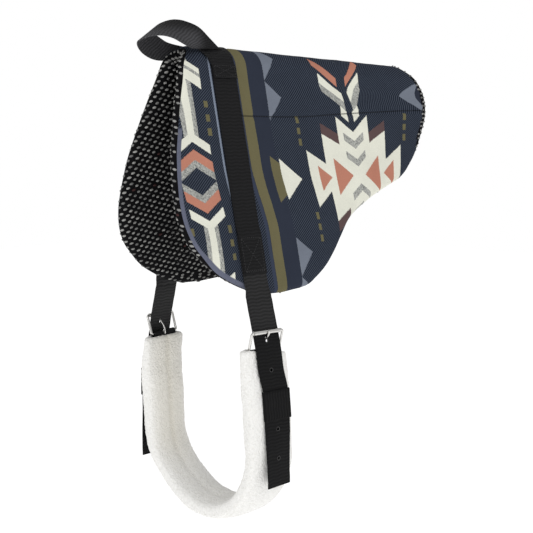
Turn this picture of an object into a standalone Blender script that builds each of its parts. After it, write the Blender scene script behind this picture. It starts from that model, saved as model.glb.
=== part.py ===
"""A pony-size bareback pad, hanging as it is worn, with its surcingle, grab handle and fleece girth.

Metres, +Z up. -X is the front (the withers), +Y the horse's right side when it faces -X, and the
left side is -Y. The origin is on the pad's underside, at the spine, above the girth line.
"""

import math

import bmesh
import bpy
from mathutils import Matrix, Vector

# The padded saddle: outline, section and layers
PAD_THICKNESS = 0.016
COVER_THICKNESS = 0.0012
LINING_THICKNESS = 0.0017
LAYER_GAP = 0.0003
SEAM_GAP = 0.0004
EDGE_ROUNDING = 0.009
FOAM_MARGIN = 0.0105
FLAP_DROP = 0.336
FRONT_REACH = 0.1155
REAR_REACH = 0.451
RIDGE_HALF_WIDTH = 0.020
RIDGE_HEIGHT = 0.022
FLARE = 0.213
REAR_WIDENING = 0.25
REAR_WIDENING_START = 0.100
SPINE_FALL = 0.031

# Webbing and the surcingle sewn over the pad
WEBBING_WIDTH = 0.0445
WEBBING_THICKNESS = 0.0016
SURCINGLE_DROP = 0.306
BOX_STITCH_LENGTH = 0.053
SEWN_LAP_RAMP = 0.012

# Grab handle over the withers
HANDLE_REACH = 0.115
HANDLE_SPREAD = 0.034
HANDLE_RISE = 0.050
HANDLE_TAB_LENGTH = 0.020
HANDLE_TAB_GAP = 0.00035

# Roller buckles: the heel bar hangs in the girth, the roller is above and outside it
HEEL_BAR_HALF_SPAN = 0.102
HEEL_BAR_DROP = 0.410
BUCKLE_TOE = math.radians(6.5)
BUCKLE_RISE = 0.027
BUCKLE_LEAN = 0.008
FRAME_WIDTH = 0.054
FRAME_WIRE_RADIUS = 0.0017
FRAME_CORNER = 0.003
ROLLER_RADIUS = 0.0027
ROLLER_BORE_RADIUS = 0.0020
ROLLER_END_GAP = 0.0004
TONGUE_WIRE_RADIUS = 0.0012
TONGUE_EYE_CLEARANCE = 0.00035

# Billets: the hanging straps, their hinge line at the flap's edge, their holes and their tails
BILLET_HINGE_DROP = 0.338
BILLET_STANDOFF = 0.0013
HINGE_GAP = 0.0004
OPEN_HINGE_GAP = 0.0007
HEEL_SPLIT_GAP = 0.0031
TAIL_LENGTH = 0.188
TAIL_SPREAD_SLOPE = 0.110
TAIL_TRAIL_SLOPE = 0.025
HOLE_PITCH = 0.0412
HOLE_RADIUS = 0.0026
TAIL_HOLES = 4
TONGUE_SLOT_LENGTH = 0.0100
TONGUE_SLOT_WIDTH = 0.0052
TONGUE_SLOT_RISE = 0.0162
STRAP_CLEARANCE = 0.0003
MOUTH_CLEARANCE = 0.0010

# Girth: webbing core, chapes round the heel bars, keepers, and the fleece sleeve over it all
GIRTH_DEPTH = 0.2445
GIRTH_LEG = 0.138
GIRTH_BELLY = 0.0015
GIRTH_RAKE = 0.070
SLEEVE_WIDTH = 0.0755
SLEEVE_HALF_THICKNESS = 0.0148
SLEEVE_MOUTH_HALF_THICKNESS = 0.0078
SLEEVE_MOUTH_RISE = 0.0033
SLEEVE_SWELL = 0.094
SLEEVE_MOUTH_HALF_WIDTH = 0.0385
MOUTH_BORE_HALF_THICKNESS = 0.0062
MOUTH_BORE_HALF_WIDTH = 0.0310
MOUTH_BORE_DEPTH = 0.0075
BORE_STEP = 0.004
CHAPE_WIDTH = 0.044
CHAPE_THICKNESS = 0.0013
CHAPE_CLEARANCE = 0.0008
CHAPE_LEG = 0.036
CHAPE_SLOT_WIDTH = 0.008
CHAPE_SLOT_DROP = 0.008
CORE_START = 0.009
CORE_WIDTH = 0.050
KEEPER_TOP = 0.053
KEEPER_LENGTH = 0.041
KEEPER_THICKNESS = 0.0011
KEEPER_SIDE_CLEARANCE = 0.0006
KEEPER_FACE_CLEARANCE = 0.0004

# How far a cutter runs past what it cuts
OVERRUN = 0.003

# Drop of each row of faces down the flap, as shares of FLAP_DROP; the rows at the hem follow the
# edge rounding
ROW_SHARES = (0.145, 0.25, 0.345, 0.43, 0.50, 0.545, 0.58, 0.625, 0.69, 0.78, 0.86, 0.92)
EDGE_STEP_SHARES = (0.0, 0.13, 0.45, 1.0)
MIDDLE_COLUMNS = 6
COLUMN_LIMIT_SHARE = 0.42
ROOM_SHARE = 0.97
RIDGE_STEPS = 3

# Outline of a flap: (share of FLAP_DROP, share of FRONT_REACH) and (share of FLAP_DROP, share of
# REAR_REACH). Both curves end on the flat bottom hem.
FRONT_EDGE_SHARES = (
    (0.0, -0.46), (0.048, -0.585), (0.128, -0.665), (0.253, -0.79), (0.36, -0.885),
    (0.44, -0.945), (0.52, -0.98), (0.60, -1.0), (0.665, -0.993), (0.73, -0.95),
    (0.798, -0.85), (0.855, -0.69), (0.902, -0.53), (0.946, -0.30), (0.978, -0.08), (1.0, 0.17),
)
REAR_EDGE_SHARES = (
    (0.0, 0.935), (0.027, 0.957), (0.068, 0.982), (0.122, 1.0), (0.185, 1.0), (0.247, 0.984),
    (0.31, 0.953), (0.396, 0.905), (0.47, 0.851), (0.53, 0.79), (0.575, 0.70), (0.628, 0.603),
    (0.70, 0.50), (0.786, 0.435), (0.86, 0.383), (0.917, 0.332), (0.955, 0.284), (0.985, 0.23),
    (1.0, 0.12),
)

# The handle's two edges from the left foot over to the right one, as shares of HANDLE_REACH,
# HANDLE_SPREAD and HANDLE_RISE: rear edge, then front edge
HANDLE_SHARES = (
    ((0.03, -0.50, 0.275), (-0.33, -0.72, 0.245)),
    ((-0.17, -0.62, 0.54), (-0.52, -0.86, 0.23)),
    ((-0.33, -0.59, 0.80), (-0.68, -0.92, 0.34)),
    ((-0.45, -0.36, 0.94), (-0.82, -0.83, 0.48)),
    ((-0.55, -0.03, 1.0), (-0.92, -0.44, 0.54)),
    ((-0.64, 0.29, 0.94), (-0.98, 0.09, 0.48)),
    ((-0.69, 0.59, 0.82), (-0.98, 0.53, 0.40)),
    ((-0.67, 0.80, 0.68), (-0.90, 0.86, 0.28)),
    ((-0.56, 0.86, 0.56), (-0.80, 0.98, 0.12)),
    ((-0.44, 0.84, 0.44), (-0.65, 1.0, -0.02)),
    ((-0.25, 0.74, 0.36), (-0.49, 0.93, -0.05)),
    ((0.03, 0.56, 0.275), (-0.33, 0.80, 0.06)),
)
HANDLE_SUBSTEPS = 3
# How much of the way to the handle's foot the sewn tab has turned forward, at its stations
TAB_TURN_SHARES = (0.0, 0.0, 0.15, 0.55)

# The tongue's middle line, from the eye to the tip, as shares of BUCKLE_LEAN outward and
# BUCKLE_RISE upward
TONGUE_SHARES = (
    (-0.33, 0.17), (0.08, 0.41), (0.68, 0.63), (1.27, 0.815), (1.56, 0.96), (1.62, 1.09),
)

LEFT, RIGHT = -1, 1
SIDE_NAMES = {LEFT: "left", RIGHT: "right"}
SLANT = math.hypot(1.0, FLARE)


def clear_scene():
    for obj in list(bpy.data.objects):
        bpy.data.objects.remove(obj, do_unlink=True)


def new_collection(name):
    collection = bpy.data.collections.new(name)
    bpy.context.scene.collection.children.link(collection)
    return collection


def make_material(name, color, roughness, metallic=0.0):
    material = bpy.data.materials.new(name)
    material.use_nodes = True
    shader = material.node_tree.nodes["Principled BSDF"]
    shader.inputs["Base Color"].default_value = (*color, 1.0)
    shader.inputs["Roughness"].default_value = roughness
    shader.inputs["Metallic"].default_value = metallic
    material.diffuse_color = (*color, 1.0)
    return material


def object_from_bmesh(name, shape, material, smooth=True):
    bmesh.ops.recalc_face_normals(shape, faces=shape.faces)
    mesh = bpy.data.meshes.new(name)
    shape.to_mesh(mesh)
    shape.free()
    mesh.materials.append(material)
    if smooth:
        mesh.shade_smooth()
        mesh.set_sharp_from_angle(angle=math.radians(35))
    obj = bpy.data.objects.new(name, mesh)
    parts.objects.link(obj)
    return obj


def smooth_curve(value, table):
    """The value of a smooth curve through a table of (place, value) pairs, at one place."""
    last = len(table) - 1
    if value <= table[0][0]:
        return table[0][1]
    if value >= table[last][0]:
        return table[last][1]
    i = next(k for k in range(last) if value <= table[k + 1][0])
    slopes = []
    for k in (i, i + 1):
        low, high = max(k - 1, 0), min(k + 1, last)
        slopes.append((table[high][1] - table[low][1]) / (table[high][0] - table[low][0]))
    span = table[i + 1][0] - table[i][0]
    t = (value - table[i][0]) / span
    return (
        table[i][1] * (2 * t**3 - 3 * t**2 + 1)
        + slopes[0] * span * (t**3 - 2 * t**2 + t)
        + table[i + 1][1] * (3 * t**2 - 2 * t**3)
        + slopes[1] * span * (t**3 - t**2)
    )


def smooth_path(points, substeps):
    """Points of a smooth curve through a list of vectors, with substeps between neighbours."""
    path = []
    last = len(points) - 1
    for i in range(last):
        before, here = points[max(i - 1, 0)], points[i]
        there, after = points[i + 1], points[min(i + 2, last)]
        for k in range(substeps):
            t = k / substeps
            path.append(
                0.5
                * (
                    2 * here
                    + (there - before) * t
                    + (2 * before - 5 * here + 4 * there - after) * t**2
                    + (3 * here - before - 3 * there + after) * t**3
                )
            )
    path.append(points[last])
    return path


def blend(low, high, share):
    share = min(max(share, 0.0), 1.0)
    return low + (high - low) * share * share * (3 - 2 * share)


def layer_point(x, drop, depth, side):
    """A point of the pad's section, drop below the spine's top and depth under the cover's face."""
    if drop < RIDGE_HEIGHT:
        cosine = 1 - drop / RIDGE_HEIGHT
        sine = math.sqrt(1 - cosine * cosine)
        fall = depth + (RIDGE_HEIGHT - depth) * (1 - cosine)
        out = (RIDGE_HALF_WIDTH - depth * (SLANT - FLARE)) * sine + FLARE * (fall - depth)
    else:
        fall = drop
        out = RIDGE_HALF_WIDTH - depth * SLANT + FLARE * drop
    rear_share = max(0.0, (x - REAR_WIDENING_START) / (REAR_REACH - REAR_WIDENING_START))
    out *= 1 + REAR_WIDENING * rear_share**1.5
    return Vector((x, side * out, PAD_THICKNESS - fall - SPINE_FALL * max(0.0, x)))


def front_edge(drop):
    return FRONT_REACH * smooth_curve(drop / FLAP_DROP, FRONT_EDGE_SHARES)


def rear_edge(drop):
    return REAR_REACH * smooth_curve(drop / FLAP_DROP, REAR_EDGE_SHARES)


def flap_outline():
    """The flap's edge laid flat, as (x, distance down the cloth), from spine front to spine rear."""
    drops = [FLAP_DROP * i / 90 for i in range(91)]
    front = [(front_edge(drop), drop * SLANT) for drop in drops]
    rear = [(rear_edge(drop), drop * SLANT) for drop in reversed(drops)]
    return front + rear


def distance_to_outline(x, down, outline):
    best = 1.0
    for (ax, ay), (bx, by) in zip(outline, outline[1:]):
        length = (bx - ax) ** 2 + (by - ay) ** 2
        t = ((x - ax) * (bx - ax) + (down - ay) * (by - ay)) / length if length else 0.0
        t = min(max(t, 0.0), 1.0)
        best = min(best, math.hypot(x - ax - t * (bx - ax), down - ay - t * (by - ay)))
    return best


def grid_rows(margin, rounding, steps):
    """Drops of the rows of one flap, from just past the ridge to the hem."""
    rows = [FLAP_DROP * share for share in ROW_SHARES]
    for share in reversed(steps):
        rows.append(FLAP_DROP - (margin + (rounding - margin) * share) / SLANT)
    return rows


def inset_place(edge, limit, down, inset, outline):
    """X between a row's edge and a limit where the outline is the given inset away."""
    low, high = edge, limit
    for _ in range(14):
        middle = (low + high) / 2
        if distance_to_outline(middle, down, outline) < inset:
            low = middle
        else:
            high = middle
    return high


def grid_columns(drop, margin, rounding, steps, outline):
    """X of each column in a row: close together at both edges, where the pad rounds over."""
    front, rear, down = front_edge(drop), rear_edge(drop), drop * SLANT
    ends = []
    for edge, other in ((front, rear), (rear, front)):
        limit = edge + COLUMN_LIMIT_SHARE * (other - edge)
        room = distance_to_outline(limit, down, outline) * ROOM_SHARE
        shrink = min(1.0, (room - margin) / (rounding - margin))
        insets = [margin + (rounding - margin) * share * shrink for share in steps]
        if shrink < 0.0:
            first = inset_place(edge, limit, down, margin * ROOM_SHARE, outline)
            spread = (limit - first) / len(steps)
            ends.append([first + spread * i for i in range(len(steps))])
        else:
            ends.append([inset_place(edge, limit, down, inset, outline) for inset in insets])
    start, end = ends[0], list(reversed(ends[1]))
    step = (end[0] - start[-1]) / MIDDLE_COLUMNS
    return start + [start[-1] + step * i for i in range(1, MIDDLE_COLUMNS)] + end


def ridge_drops():
    """Drops of the rows that round the top of the ridge."""
    turns = [math.pi / 2 * i / RIDGE_STEPS for i in range(1, RIDGE_STEPS + 1)]
    return [RIDGE_HEIGHT * (1 - math.cos(turn)) for turn in turns]


def pad_grid(shape, margin, rounding, steps, depth_at):
    """Vertices of one face of a layer, row by row from the left hem over the ridge to the right."""
    outline = flap_outline()
    drops = ridge_drops() + grid_rows(margin, rounding, steps)
    stations = [(LEFT, drop) for drop in reversed(drops)] + [(LEFT, 0.0)]
    stations += [(RIGHT, drop) for drop in drops]
    grid = []
    for side, drop in stations:
        row = []
        for x in grid_columns(drop, margin, rounding, steps, outline):
            depth = depth_at(distance_to_outline(x, drop * SLANT, outline))
            row.append(shape.verts.new(layer_point(x, drop, depth, side)))
        grid.append(row)
    return grid


def close_layer(shape, outer, inner):
    """Faces of two grids and of the rim that joins their borders."""
    for grid in (outer, inner):
        for row, below in zip(grid, grid[1:]):
            for i in range(len(row) - 1):
                shape.faces.new((row[i], row[i + 1], below[i + 1], below[i]))
    borders = []
    for grid in (outer, inner):
        left = [row[0] for row in grid]
        right = [row[-1] for row in reversed(grid)]
        borders.append(left + grid[-1][1:-1] + right + grid[0][-2:0:-1])
    count = len(borders[0])
    for i in range(count):
        j = (i + 1) % count
        shape.faces.new((borders[0][i], borders[0][j], borders[1][j], borders[1][i]))


def rounded_depth(distance, wall, from_horse_side):
    """Depth of a skin's surface near the pad's edge; wall is how deep the surface lies elsewhere."""
    half = PAD_THICKNESS / 2 - SEAM_GAP / 2
    reach = EDGE_ROUNDING - wall
    share = min(max((distance - wall) / reach, 0.0), 1.0)
    depth = wall + (half - wall) * (1 - math.sqrt(1 - (1 - share) ** 2))
    return PAD_THICKNESS - depth if from_horse_side else depth


def make_skin(name, thickness, from_horse_side, material):
    """The cover or the lining: a cloth shell whose rim meets the other one at the edge seam."""
    shape = bmesh.new()
    faces = []
    for wall in (0.0, thickness):
        faces.append(
            pad_grid(
                shape, wall, EDGE_ROUNDING, EDGE_STEP_SHARES,
                lambda distance: rounded_depth(distance, wall, from_horse_side),
            )
        )
    close_layer(shape, *faces)
    return object_from_bmesh(name, shape, material)


def make_foam(material):
    shape = bmesh.new()
    top = COVER_THICKNESS + LAYER_GAP
    bottom = PAD_THICKNESS - LINING_THICKNESS - LAYER_GAP
    reach = FOAM_MARGIN + EDGE_ROUNDING
    faces = [pad_grid(shape, FOAM_MARGIN, reach, (0.0,), lambda distance: depth) for depth in (top, bottom)]
    close_layer(shape, *faces)
    return object_from_bmesh("foam_core", shape, material)


def make_ribbon(name, sections, thickness, material):
    """A flat strap: each section is its middle, half its width as a vector, and its face's normal."""
    shape = bmesh.new()
    rings = []
    for middle, half_width, normal in sections:
        face = normal.normalized() * thickness / 2
        low, high = middle - half_width, middle + half_width
        corners = (low - face, high - face, high + face, low + face)
        rings.append([shape.verts.new(corner) for corner in corners])
    loft(shape, rings)
    shape.faces.new(rings[0])
    shape.faces.new(rings[-1])
    return object_from_bmesh(name, shape, material)


def loft(shape, rings):
    for ring, following in zip(rings, rings[1:]):
        count = len(ring)
        for i in range(count):
            j = (i + 1) % count
            shape.faces.new((ring[i], ring[j], following[j], following[i]))


def flap_normal(side):
    return Vector((0.0, side, FLARE)).normalized()


def make_surcingle(material):
    """Webbing over the pad, raised over the billet ends that are sewn under it."""
    half = Vector((WEBBING_WIDTH / 2, 0.0, 0.0))
    lap = WEBBING_THICKNESS + STRAP_CLEARANCE
    lap_start = SURCINGLE_DROP - BOX_STITCH_LENGTH - STRAP_CLEARANCE
    flat = -(LAYER_GAP + WEBBING_THICKNESS / 2)
    flap_end = lap_start - SEWN_LAP_RAMP
    ridge = [(drop, flat) for drop in ridge_drops()]
    flap = [(share * FLAP_DROP, flat) for share in ROW_SHARES if share * FLAP_DROP < flap_end]
    sewn = [(flap_end, flat), (lap_start, flat - lap), (SURCINGLE_DROP, flat - lap)]
    drops = ridge + flap + sewn
    sections = []
    for side, rows in ((LEFT, reversed(drops)), (None, [(0.0, flat)]), (RIGHT, drops)):
        for drop, depth in rows:
            middle = layer_point(0.0, drop, depth, side or RIGHT)
            under = layer_point(0.0, drop, depth + WEBBING_THICKNESS, side or RIGHT)
            sections.append((middle, half, middle - under))
    return make_ribbon("surcingle", sections, WEBBING_THICKNESS, material)


def heel_bar(side):
    return Vector((0.0, side * HEEL_BAR_HALF_SPAN, PAD_THICKNESS - HEEL_BAR_DROP))


def buckle_axes(side):
    """The buckle's own directions: along its bars, and outward from the horse."""
    along = Vector((math.cos(BUCKLE_TOE), side * math.sin(BUCKLE_TOE), 0.0))
    outward = Vector((-math.sin(BUCKLE_TOE), side * math.cos(BUCKLE_TOE), 0.0))
    return along, outward


def buckle_point(side, along, outward, up):
    bar, face = buckle_axes(side)
    return heel_bar(side) + bar * along + face * outward + Vector((0.0, 0.0, up))


def sleeve_half_thickness(down):
    """Half the fleece sleeve's thickness, down below the heel bar; the mouth is drawn in."""
    share = (down + SLEEVE_MOUTH_RISE) / (SLEEVE_SWELL + SLEEVE_MOUTH_RISE)
    share = min(max(share, 0.0), 1.0)
    return SLEEVE_MOUTH_HALF_THICKNESS + (SLEEVE_HALF_THICKNESS - SLEEVE_MOUTH_HALF_THICKNESS) * math.sin(
        math.pi / 2 * share
    )


def leg_out(down):
    """The girth's distance from the middle plane, down below the heel bar, on its straight legs."""
    return HEEL_BAR_HALF_SPAN + GIRTH_BELLY * min(down / GIRTH_LEG, 1.0)


def strap_out(down):
    """The billet's distance from the middle plane, down below the heel bar (up is negative)."""
    roller_down = -BUCKLE_RISE
    roller_back = HEEL_BAR_HALF_SPAN + BUCKLE_LEAN - ROLLER_RADIUS
    behind_roller = roller_back - STRAP_CLEARANCE - WEBBING_THICKNESS / 2
    hinge_down = BILLET_HINGE_DROP - HEEL_BAR_DROP
    at_hinge = -layer_point(0.0, BILLET_HINGE_DROP, -(BILLET_STANDOFF + WEBBING_THICKNESS / 2), LEFT).y
    if down <= roller_down:
        return at_hinge + (behind_roller - at_hinge) * (down - hinge_down) / (roller_down - hinge_down)
    lift = STRAP_CLEARANCE + WEBBING_THICKNESS / 2
    keeper_lift = KEEPER_THICKNESS + STRAP_CLEARANCE + KEEPER_FACE_CLEARANCE
    resting = leg_out(down) + sleeve_half_thickness(down) + lift
    mouth = leg_out(0.0) + sleeve_half_thickness(0.0) + lift + MOUTH_CLEARANCE
    if down <= 0.0:
        return behind_roller + (mouth - behind_roller) * (down - roller_down) / -roller_down
    keeper_end = KEEPER_TOP + KEEPER_LENGTH
    settled = min(down / KEEPER_TOP, 1.0)
    lifted = resting + keeper_lift * blend(0.0, 1.0, settled) + MOUTH_CLEARANCE * (1 - settled)
    if down <= keeper_end:
        return lifted
    return strap_out(keeper_end) + TAIL_SPREAD_SLOPE * (down - keeper_end)


def strap_section(side, down):
    """Middle, half width and face normal of a hanging billet, down below the heel bar."""
    step = WEBBING_THICKNESS
    slope = (strap_out(down + step) - strap_out(down - step)) / (2 * step)
    hinge_down = BILLET_HINGE_DROP - HEEL_BAR_DROP
    twist = blend(0.0, 1.0, (down - hinge_down) / (-BUCKLE_RISE * 0.9 - hinge_down))
    toe = BUCKLE_TOE * twist
    along = Vector((math.cos(toe), side * math.sin(toe), 0.0))
    trail = TAIL_TRAIL_SLOPE * max(down + BUCKLE_RISE, 0.0)
    middle = Vector((trail, side * strap_out(down), PAD_THICKNESS - HEEL_BAR_DROP - down))
    course = Vector((0.0, side * slope, -1.0)).normalized()
    normal = course.cross(along) * side
    return middle, along * WEBBING_WIDTH / 2, normal


def spread_values(low, high, count):
    return [low + (high - low) * i / count for i in range(count + 1)]


def make_billet_anchor(side, material):
    """The billet's upper end, box-stitched between the cover and the surcingle."""
    half = Vector((WEBBING_WIDTH / 2, 0.0, 0.0))
    gap = HINGE_GAP if side == LEFT else OPEN_HINGE_GAP
    flat = -(LAYER_GAP + WEBBING_THICKNESS / 2)
    stands = -(BILLET_STANDOFF + WEBBING_THICKNESS / 2)
    places = (
        (SURCINGLE_DROP - BOX_STITCH_LENGTH, flat),
        (SURCINGLE_DROP, flat),
        (BILLET_HINGE_DROP - gap / 2, stands),
    )
    sections = [(layer_point(0.0, drop, depth, side), half, flap_normal(side)) for drop, depth in places]
    return make_ribbon(f"{SIDE_NAMES[side]}_billet_anchor", sections, WEBBING_THICKNESS, material)


def cut(obj, name, vertices_for, depth_vector):
    """Cuts a prism out of an object; the outline is a list of points, the depth a vector."""
    shape = bmesh.new()
    low = [shape.verts.new(point - depth_vector / 2) for point in vertices_for]
    high = [shape.verts.new(point + depth_vector / 2) for point in vertices_for]
    loft(shape, (low, high))
    shape.faces.new(low)
    shape.faces.new(high)
    bmesh.ops.recalc_face_normals(shape, faces=shape.faces)
    mesh = bpy.data.meshes.new(name)
    shape.to_mesh(mesh)
    shape.free()
    cutter = bpy.data.objects.new(name, mesh)
    cutter.hide_render = True
    cutter.display_type = "WIRE"
    cutters.objects.link(cutter)
    modifier = obj.modifiers.new(name, "BOOLEAN")
    modifier.operation = "DIFFERENCE"
    modifier.solver = "EXACT"
    modifier.object = cutter


def slot_outline(middle, along, down, length, width, arc_steps=6):
    """A slot with round ends, its length lying along down; a round hole is one of equal sides."""
    radius = width / 2
    straight = (length - width) / 2
    points = []
    for end in (1, -1):
        for i in range(arc_steps + 1):
            angle = math.pi * i / arc_steps
            across = end * math.cos(angle) * radius
            ahead = end * (math.sin(angle) * radius + straight)
            points.append(middle + along * across + down * ahead)
    return points


def cut_strap_hole(obj, side, down, length, width, name):
    middle, half_width, normal = strap_section(side, down)
    lower = strap_section(side, down + length)[0]
    upper = strap_section(side, down - length)[0]
    course = (lower - upper).normalized()
    outline = slot_outline(middle, half_width.normalized(), course, length, width)
    cut(obj, name, outline, normal * (WEBBING_THICKNESS + 2 * OVERRUN))


def make_billet_strap(side, material):
    """The hanging span, from the hinge line at the flap's edge to the heel bar."""
    label = SIDE_NAMES[side]
    gap = HINGE_GAP if side == LEFT else OPEN_HINGE_GAP
    hinge_down = BILLET_HINGE_DROP - HEEL_BAR_DROP
    places = spread_values(hinge_down + gap / 2, -BUCKLE_RISE, 6)
    places += spread_values(-BUCKLE_RISE, -HEEL_SPLIT_GAP / 2, 3)[1:]
    sections = [strap_section(side, down) for down in places]
    strap = make_ribbon(f"{label}_billet_strap", sections, WEBBING_THICKNESS, material)
    name = f"{label}_tongue_slot"
    cut_strap_hole(strap, side, -TONGUE_SLOT_RISE, TONGUE_SLOT_LENGTH, TONGUE_SLOT_WIDTH, name)
    return strap


def make_billet_tail(side, material):
    """The free end below the buckle, through the keeper, with its punched holes."""
    label = SIDE_NAMES[side]
    keeper_end = KEEPER_TOP + KEEPER_LENGTH
    places = spread_values(HEEL_SPLIT_GAP / 2, KEEPER_TOP, 5) + spread_values(KEEPER_TOP, keeper_end, 3)[1:]
    places += spread_values(keeper_end, TAIL_LENGTH, 3)[1:]
    sections = [strap_section(side, down) for down in places]
    tail = make_ribbon(f"{label}_billet_tail", sections, WEBBING_THICKNESS, material)
    for i in range(1, TAIL_HOLES + 1):
        down = HOLE_PITCH * i - TONGUE_SLOT_RISE
        cut_strap_hole(tail, side, down, 2 * HOLE_RADIUS, 2 * HOLE_RADIUS, f"{label}_hole_{i}")
    return tail


def wire_object(name, points, radius, material, cyclic=False, bevel_resolution=2):
    """A round wire along a list of points, made a mesh with its caps welded."""
    curve = bpy.data.curves.new(name, "CURVE")
    curve.dimensions = "3D"
    curve.bevel_depth = radius
    curve.bevel_resolution = bevel_resolution
    curve.use_fill_caps = not cyclic
    spline = curve.splines.new("POLY")
    spline.points.add(len(points) - 1)
    for place, point in zip(spline.points, points):
        place.co = (*point, 1.0)
    spline.use_cyclic_u = cyclic
    source = bpy.data.objects.new(name + "_curve", curve)
    bpy.context.scene.collection.objects.link(source)
    graph = bpy.context.evaluated_depsgraph_get()
    mesh = bpy.data.meshes.new_from_object(source.evaluated_get(graph))
    shape = bmesh.new()
    shape.from_mesh(mesh)
    bmesh.ops.remove_doubles(shape, verts=shape.verts, dist=radius / 1000)
    bpy.data.objects.remove(source, do_unlink=True)
    return object_from_bmesh(name, shape, material)


def make_buckle_frame(side, material):
    """A rectangle of round wire: the heel bar below, the roller's bar above and outside it."""
    length = math.hypot(BUCKLE_RISE, BUCKLE_LEAN)
    half = FRAME_WIDTH / 2
    corners = (
        (half - FRAME_CORNER, FRAME_CORNER, -90),
        (half - FRAME_CORNER, length - FRAME_CORNER, 0),
        (FRAME_CORNER - half, length - FRAME_CORNER, 90),
        (FRAME_CORNER - half, FRAME_CORNER, 180),
    )
    points = []
    for along, run, start in corners:
        for i in range(4):
            angle = math.radians(start + 30 * i)
            place = run + FRAME_CORNER * math.sin(angle)
            share = place / length
            across = along + FRAME_CORNER * math.cos(angle)
            points.append(buckle_point(side, across, BUCKLE_LEAN * share, BUCKLE_RISE * share))
    return wire_object(f"{SIDE_NAMES[side]}_buckle_frame", points, FRAME_WIRE_RADIUS, material, cyclic=True)


def make_roller(side, material):
    """A tube turned round its own axis, then laid on the frame's upper bar."""
    half = FRAME_WIDTH / 2 - FRAME_CORNER - ROLLER_END_GAP
    shape = bmesh.new()
    profile = (
        (ROLLER_BORE_RADIUS, half), (ROLLER_BORE_RADIUS, -half),
        (ROLLER_RADIUS, -half), (ROLLER_RADIUS, half),
    )
    corners = [shape.verts.new((radius, 0.0, height)) for radius, height in profile]
    for i in range(len(corners)):
        shape.edges.new((corners[i], corners[(i + 1) % len(corners)]))
    mesh = bpy.data.meshes.new("roller_profile")
    shape.to_mesh(mesh)
    shape.free()
    mesh.materials.append(material)
    roller = bpy.data.objects.new(f"{SIDE_NAMES[side]}_buckle_roller", mesh)
    parts.objects.link(roller)
    screw = roller.modifiers.new("turned", "SCREW")
    screw.steps = screw.render_steps = 16
    screw.use_merge_vertices = True
    screw.merge_threshold = ROLLER_END_GAP / 100
    screw.use_normal_flip = True
    along, _ = buckle_axes(side)
    turn = Vector((0.0, 0.0, 1.0)).rotation_difference(along).to_matrix().to_4x4()
    roller.matrix_world = Matrix.Translation(buckle_point(side, 0.0, BUCKLE_LEAN, BUCKLE_RISE)) @ turn
    return roller


def make_tongue(side, material):
    """Round wire: an eye round the heel bar, then a stem up through the strap to the roller."""
    eye_radius = FRAME_WIRE_RADIUS + TONGUE_EYE_CLEARANCE + TONGUE_WIRE_RADIUS
    eye = []
    for i in range(11):
        angle = math.radians(100 - 28 * i)
        eye.append(buckle_point(side, 0.0, eye_radius * math.cos(angle), eye_radius * math.sin(angle)))
    stem = [buckle_point(side, 0.0, BUCKLE_LEAN * out, BUCKLE_RISE * up) for out, up in TONGUE_SHARES]
    points = eye + smooth_path(stem, 2)
    return wire_object(f"{SIDE_NAMES[side]}_buckle_tongue", points, TONGUE_WIRE_RADIUS, material)


def girth_path():
    """The girth's middle line as (side out, height, outward direction), left mouth to right mouth."""
    bore_end = MOUTH_BORE_DEPTH - SLEEVE_MOUTH_RISE
    legs = (
        -SLEEVE_MOUTH_RISE, bore_end, bore_end + BORE_STEP,
        CHAPE_LEG + 2 * STRAP_CLEARANCE, CHAPE_LEG + BORE_STEP,
        (CHAPE_LEG + BORE_STEP + SLEEVE_SWELL) / 2, SLEEVE_SWELL, (SLEEVE_SWELL + GIRTH_LEG) / 2,
    )
    bowl_depth = GIRTH_DEPTH - GIRTH_LEG
    places = [(leg_out(down), down) for down in legs]
    for i in range(9):
        angle = math.pi / 2 * i / 8
        places.append((leg_out(GIRTH_LEG) * math.cos(angle), GIRTH_LEG + bowl_depth * math.sin(angle)))
    both = [(-out, down) for out, down in places] + [(out, down) for out, down in reversed(places[:-1])]
    path = []
    for i, (out, down) in enumerate(both):
        before, after = both[max(i - 1, 0)], both[min(i + 1, len(both) - 1)]
        course = Vector((0.0, after[0] - before[0], before[1] - after[1])).normalized()
        outward = course.cross(Vector((1.0, 0.0, 0.0)))
        trail = GIRTH_RAKE * max(down, 0.0)
        middle = Vector((trail, out, PAD_THICKNESS - HEEL_BAR_DROP - down))
        toe = BUCKLE_TOE * outward.y**2
        along = Vector((math.cos(toe), 0.0, 0.0)) + outward * math.sin(toe)
        outward = outward * math.cos(toe) - Vector((math.sin(toe), 0.0, 0.0))
        path.append((down, middle, along, outward))
    return path


def section_ring(shape, middle, along, outward, half_width, half_thickness, corner_steps):
    """A flat section with round sides."""
    ring = []
    straight = half_width - half_thickness
    for side in (1, -1):
        for i in range(corner_steps + 1):
            angle = math.radians(-90) + math.pi * i / corner_steps
            across = side * (straight + half_thickness * math.cos(angle))
            out = side * half_thickness * math.sin(angle)
            ring.append(shape.verts.new(middle + along * across + outward * out))
    return ring


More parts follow.
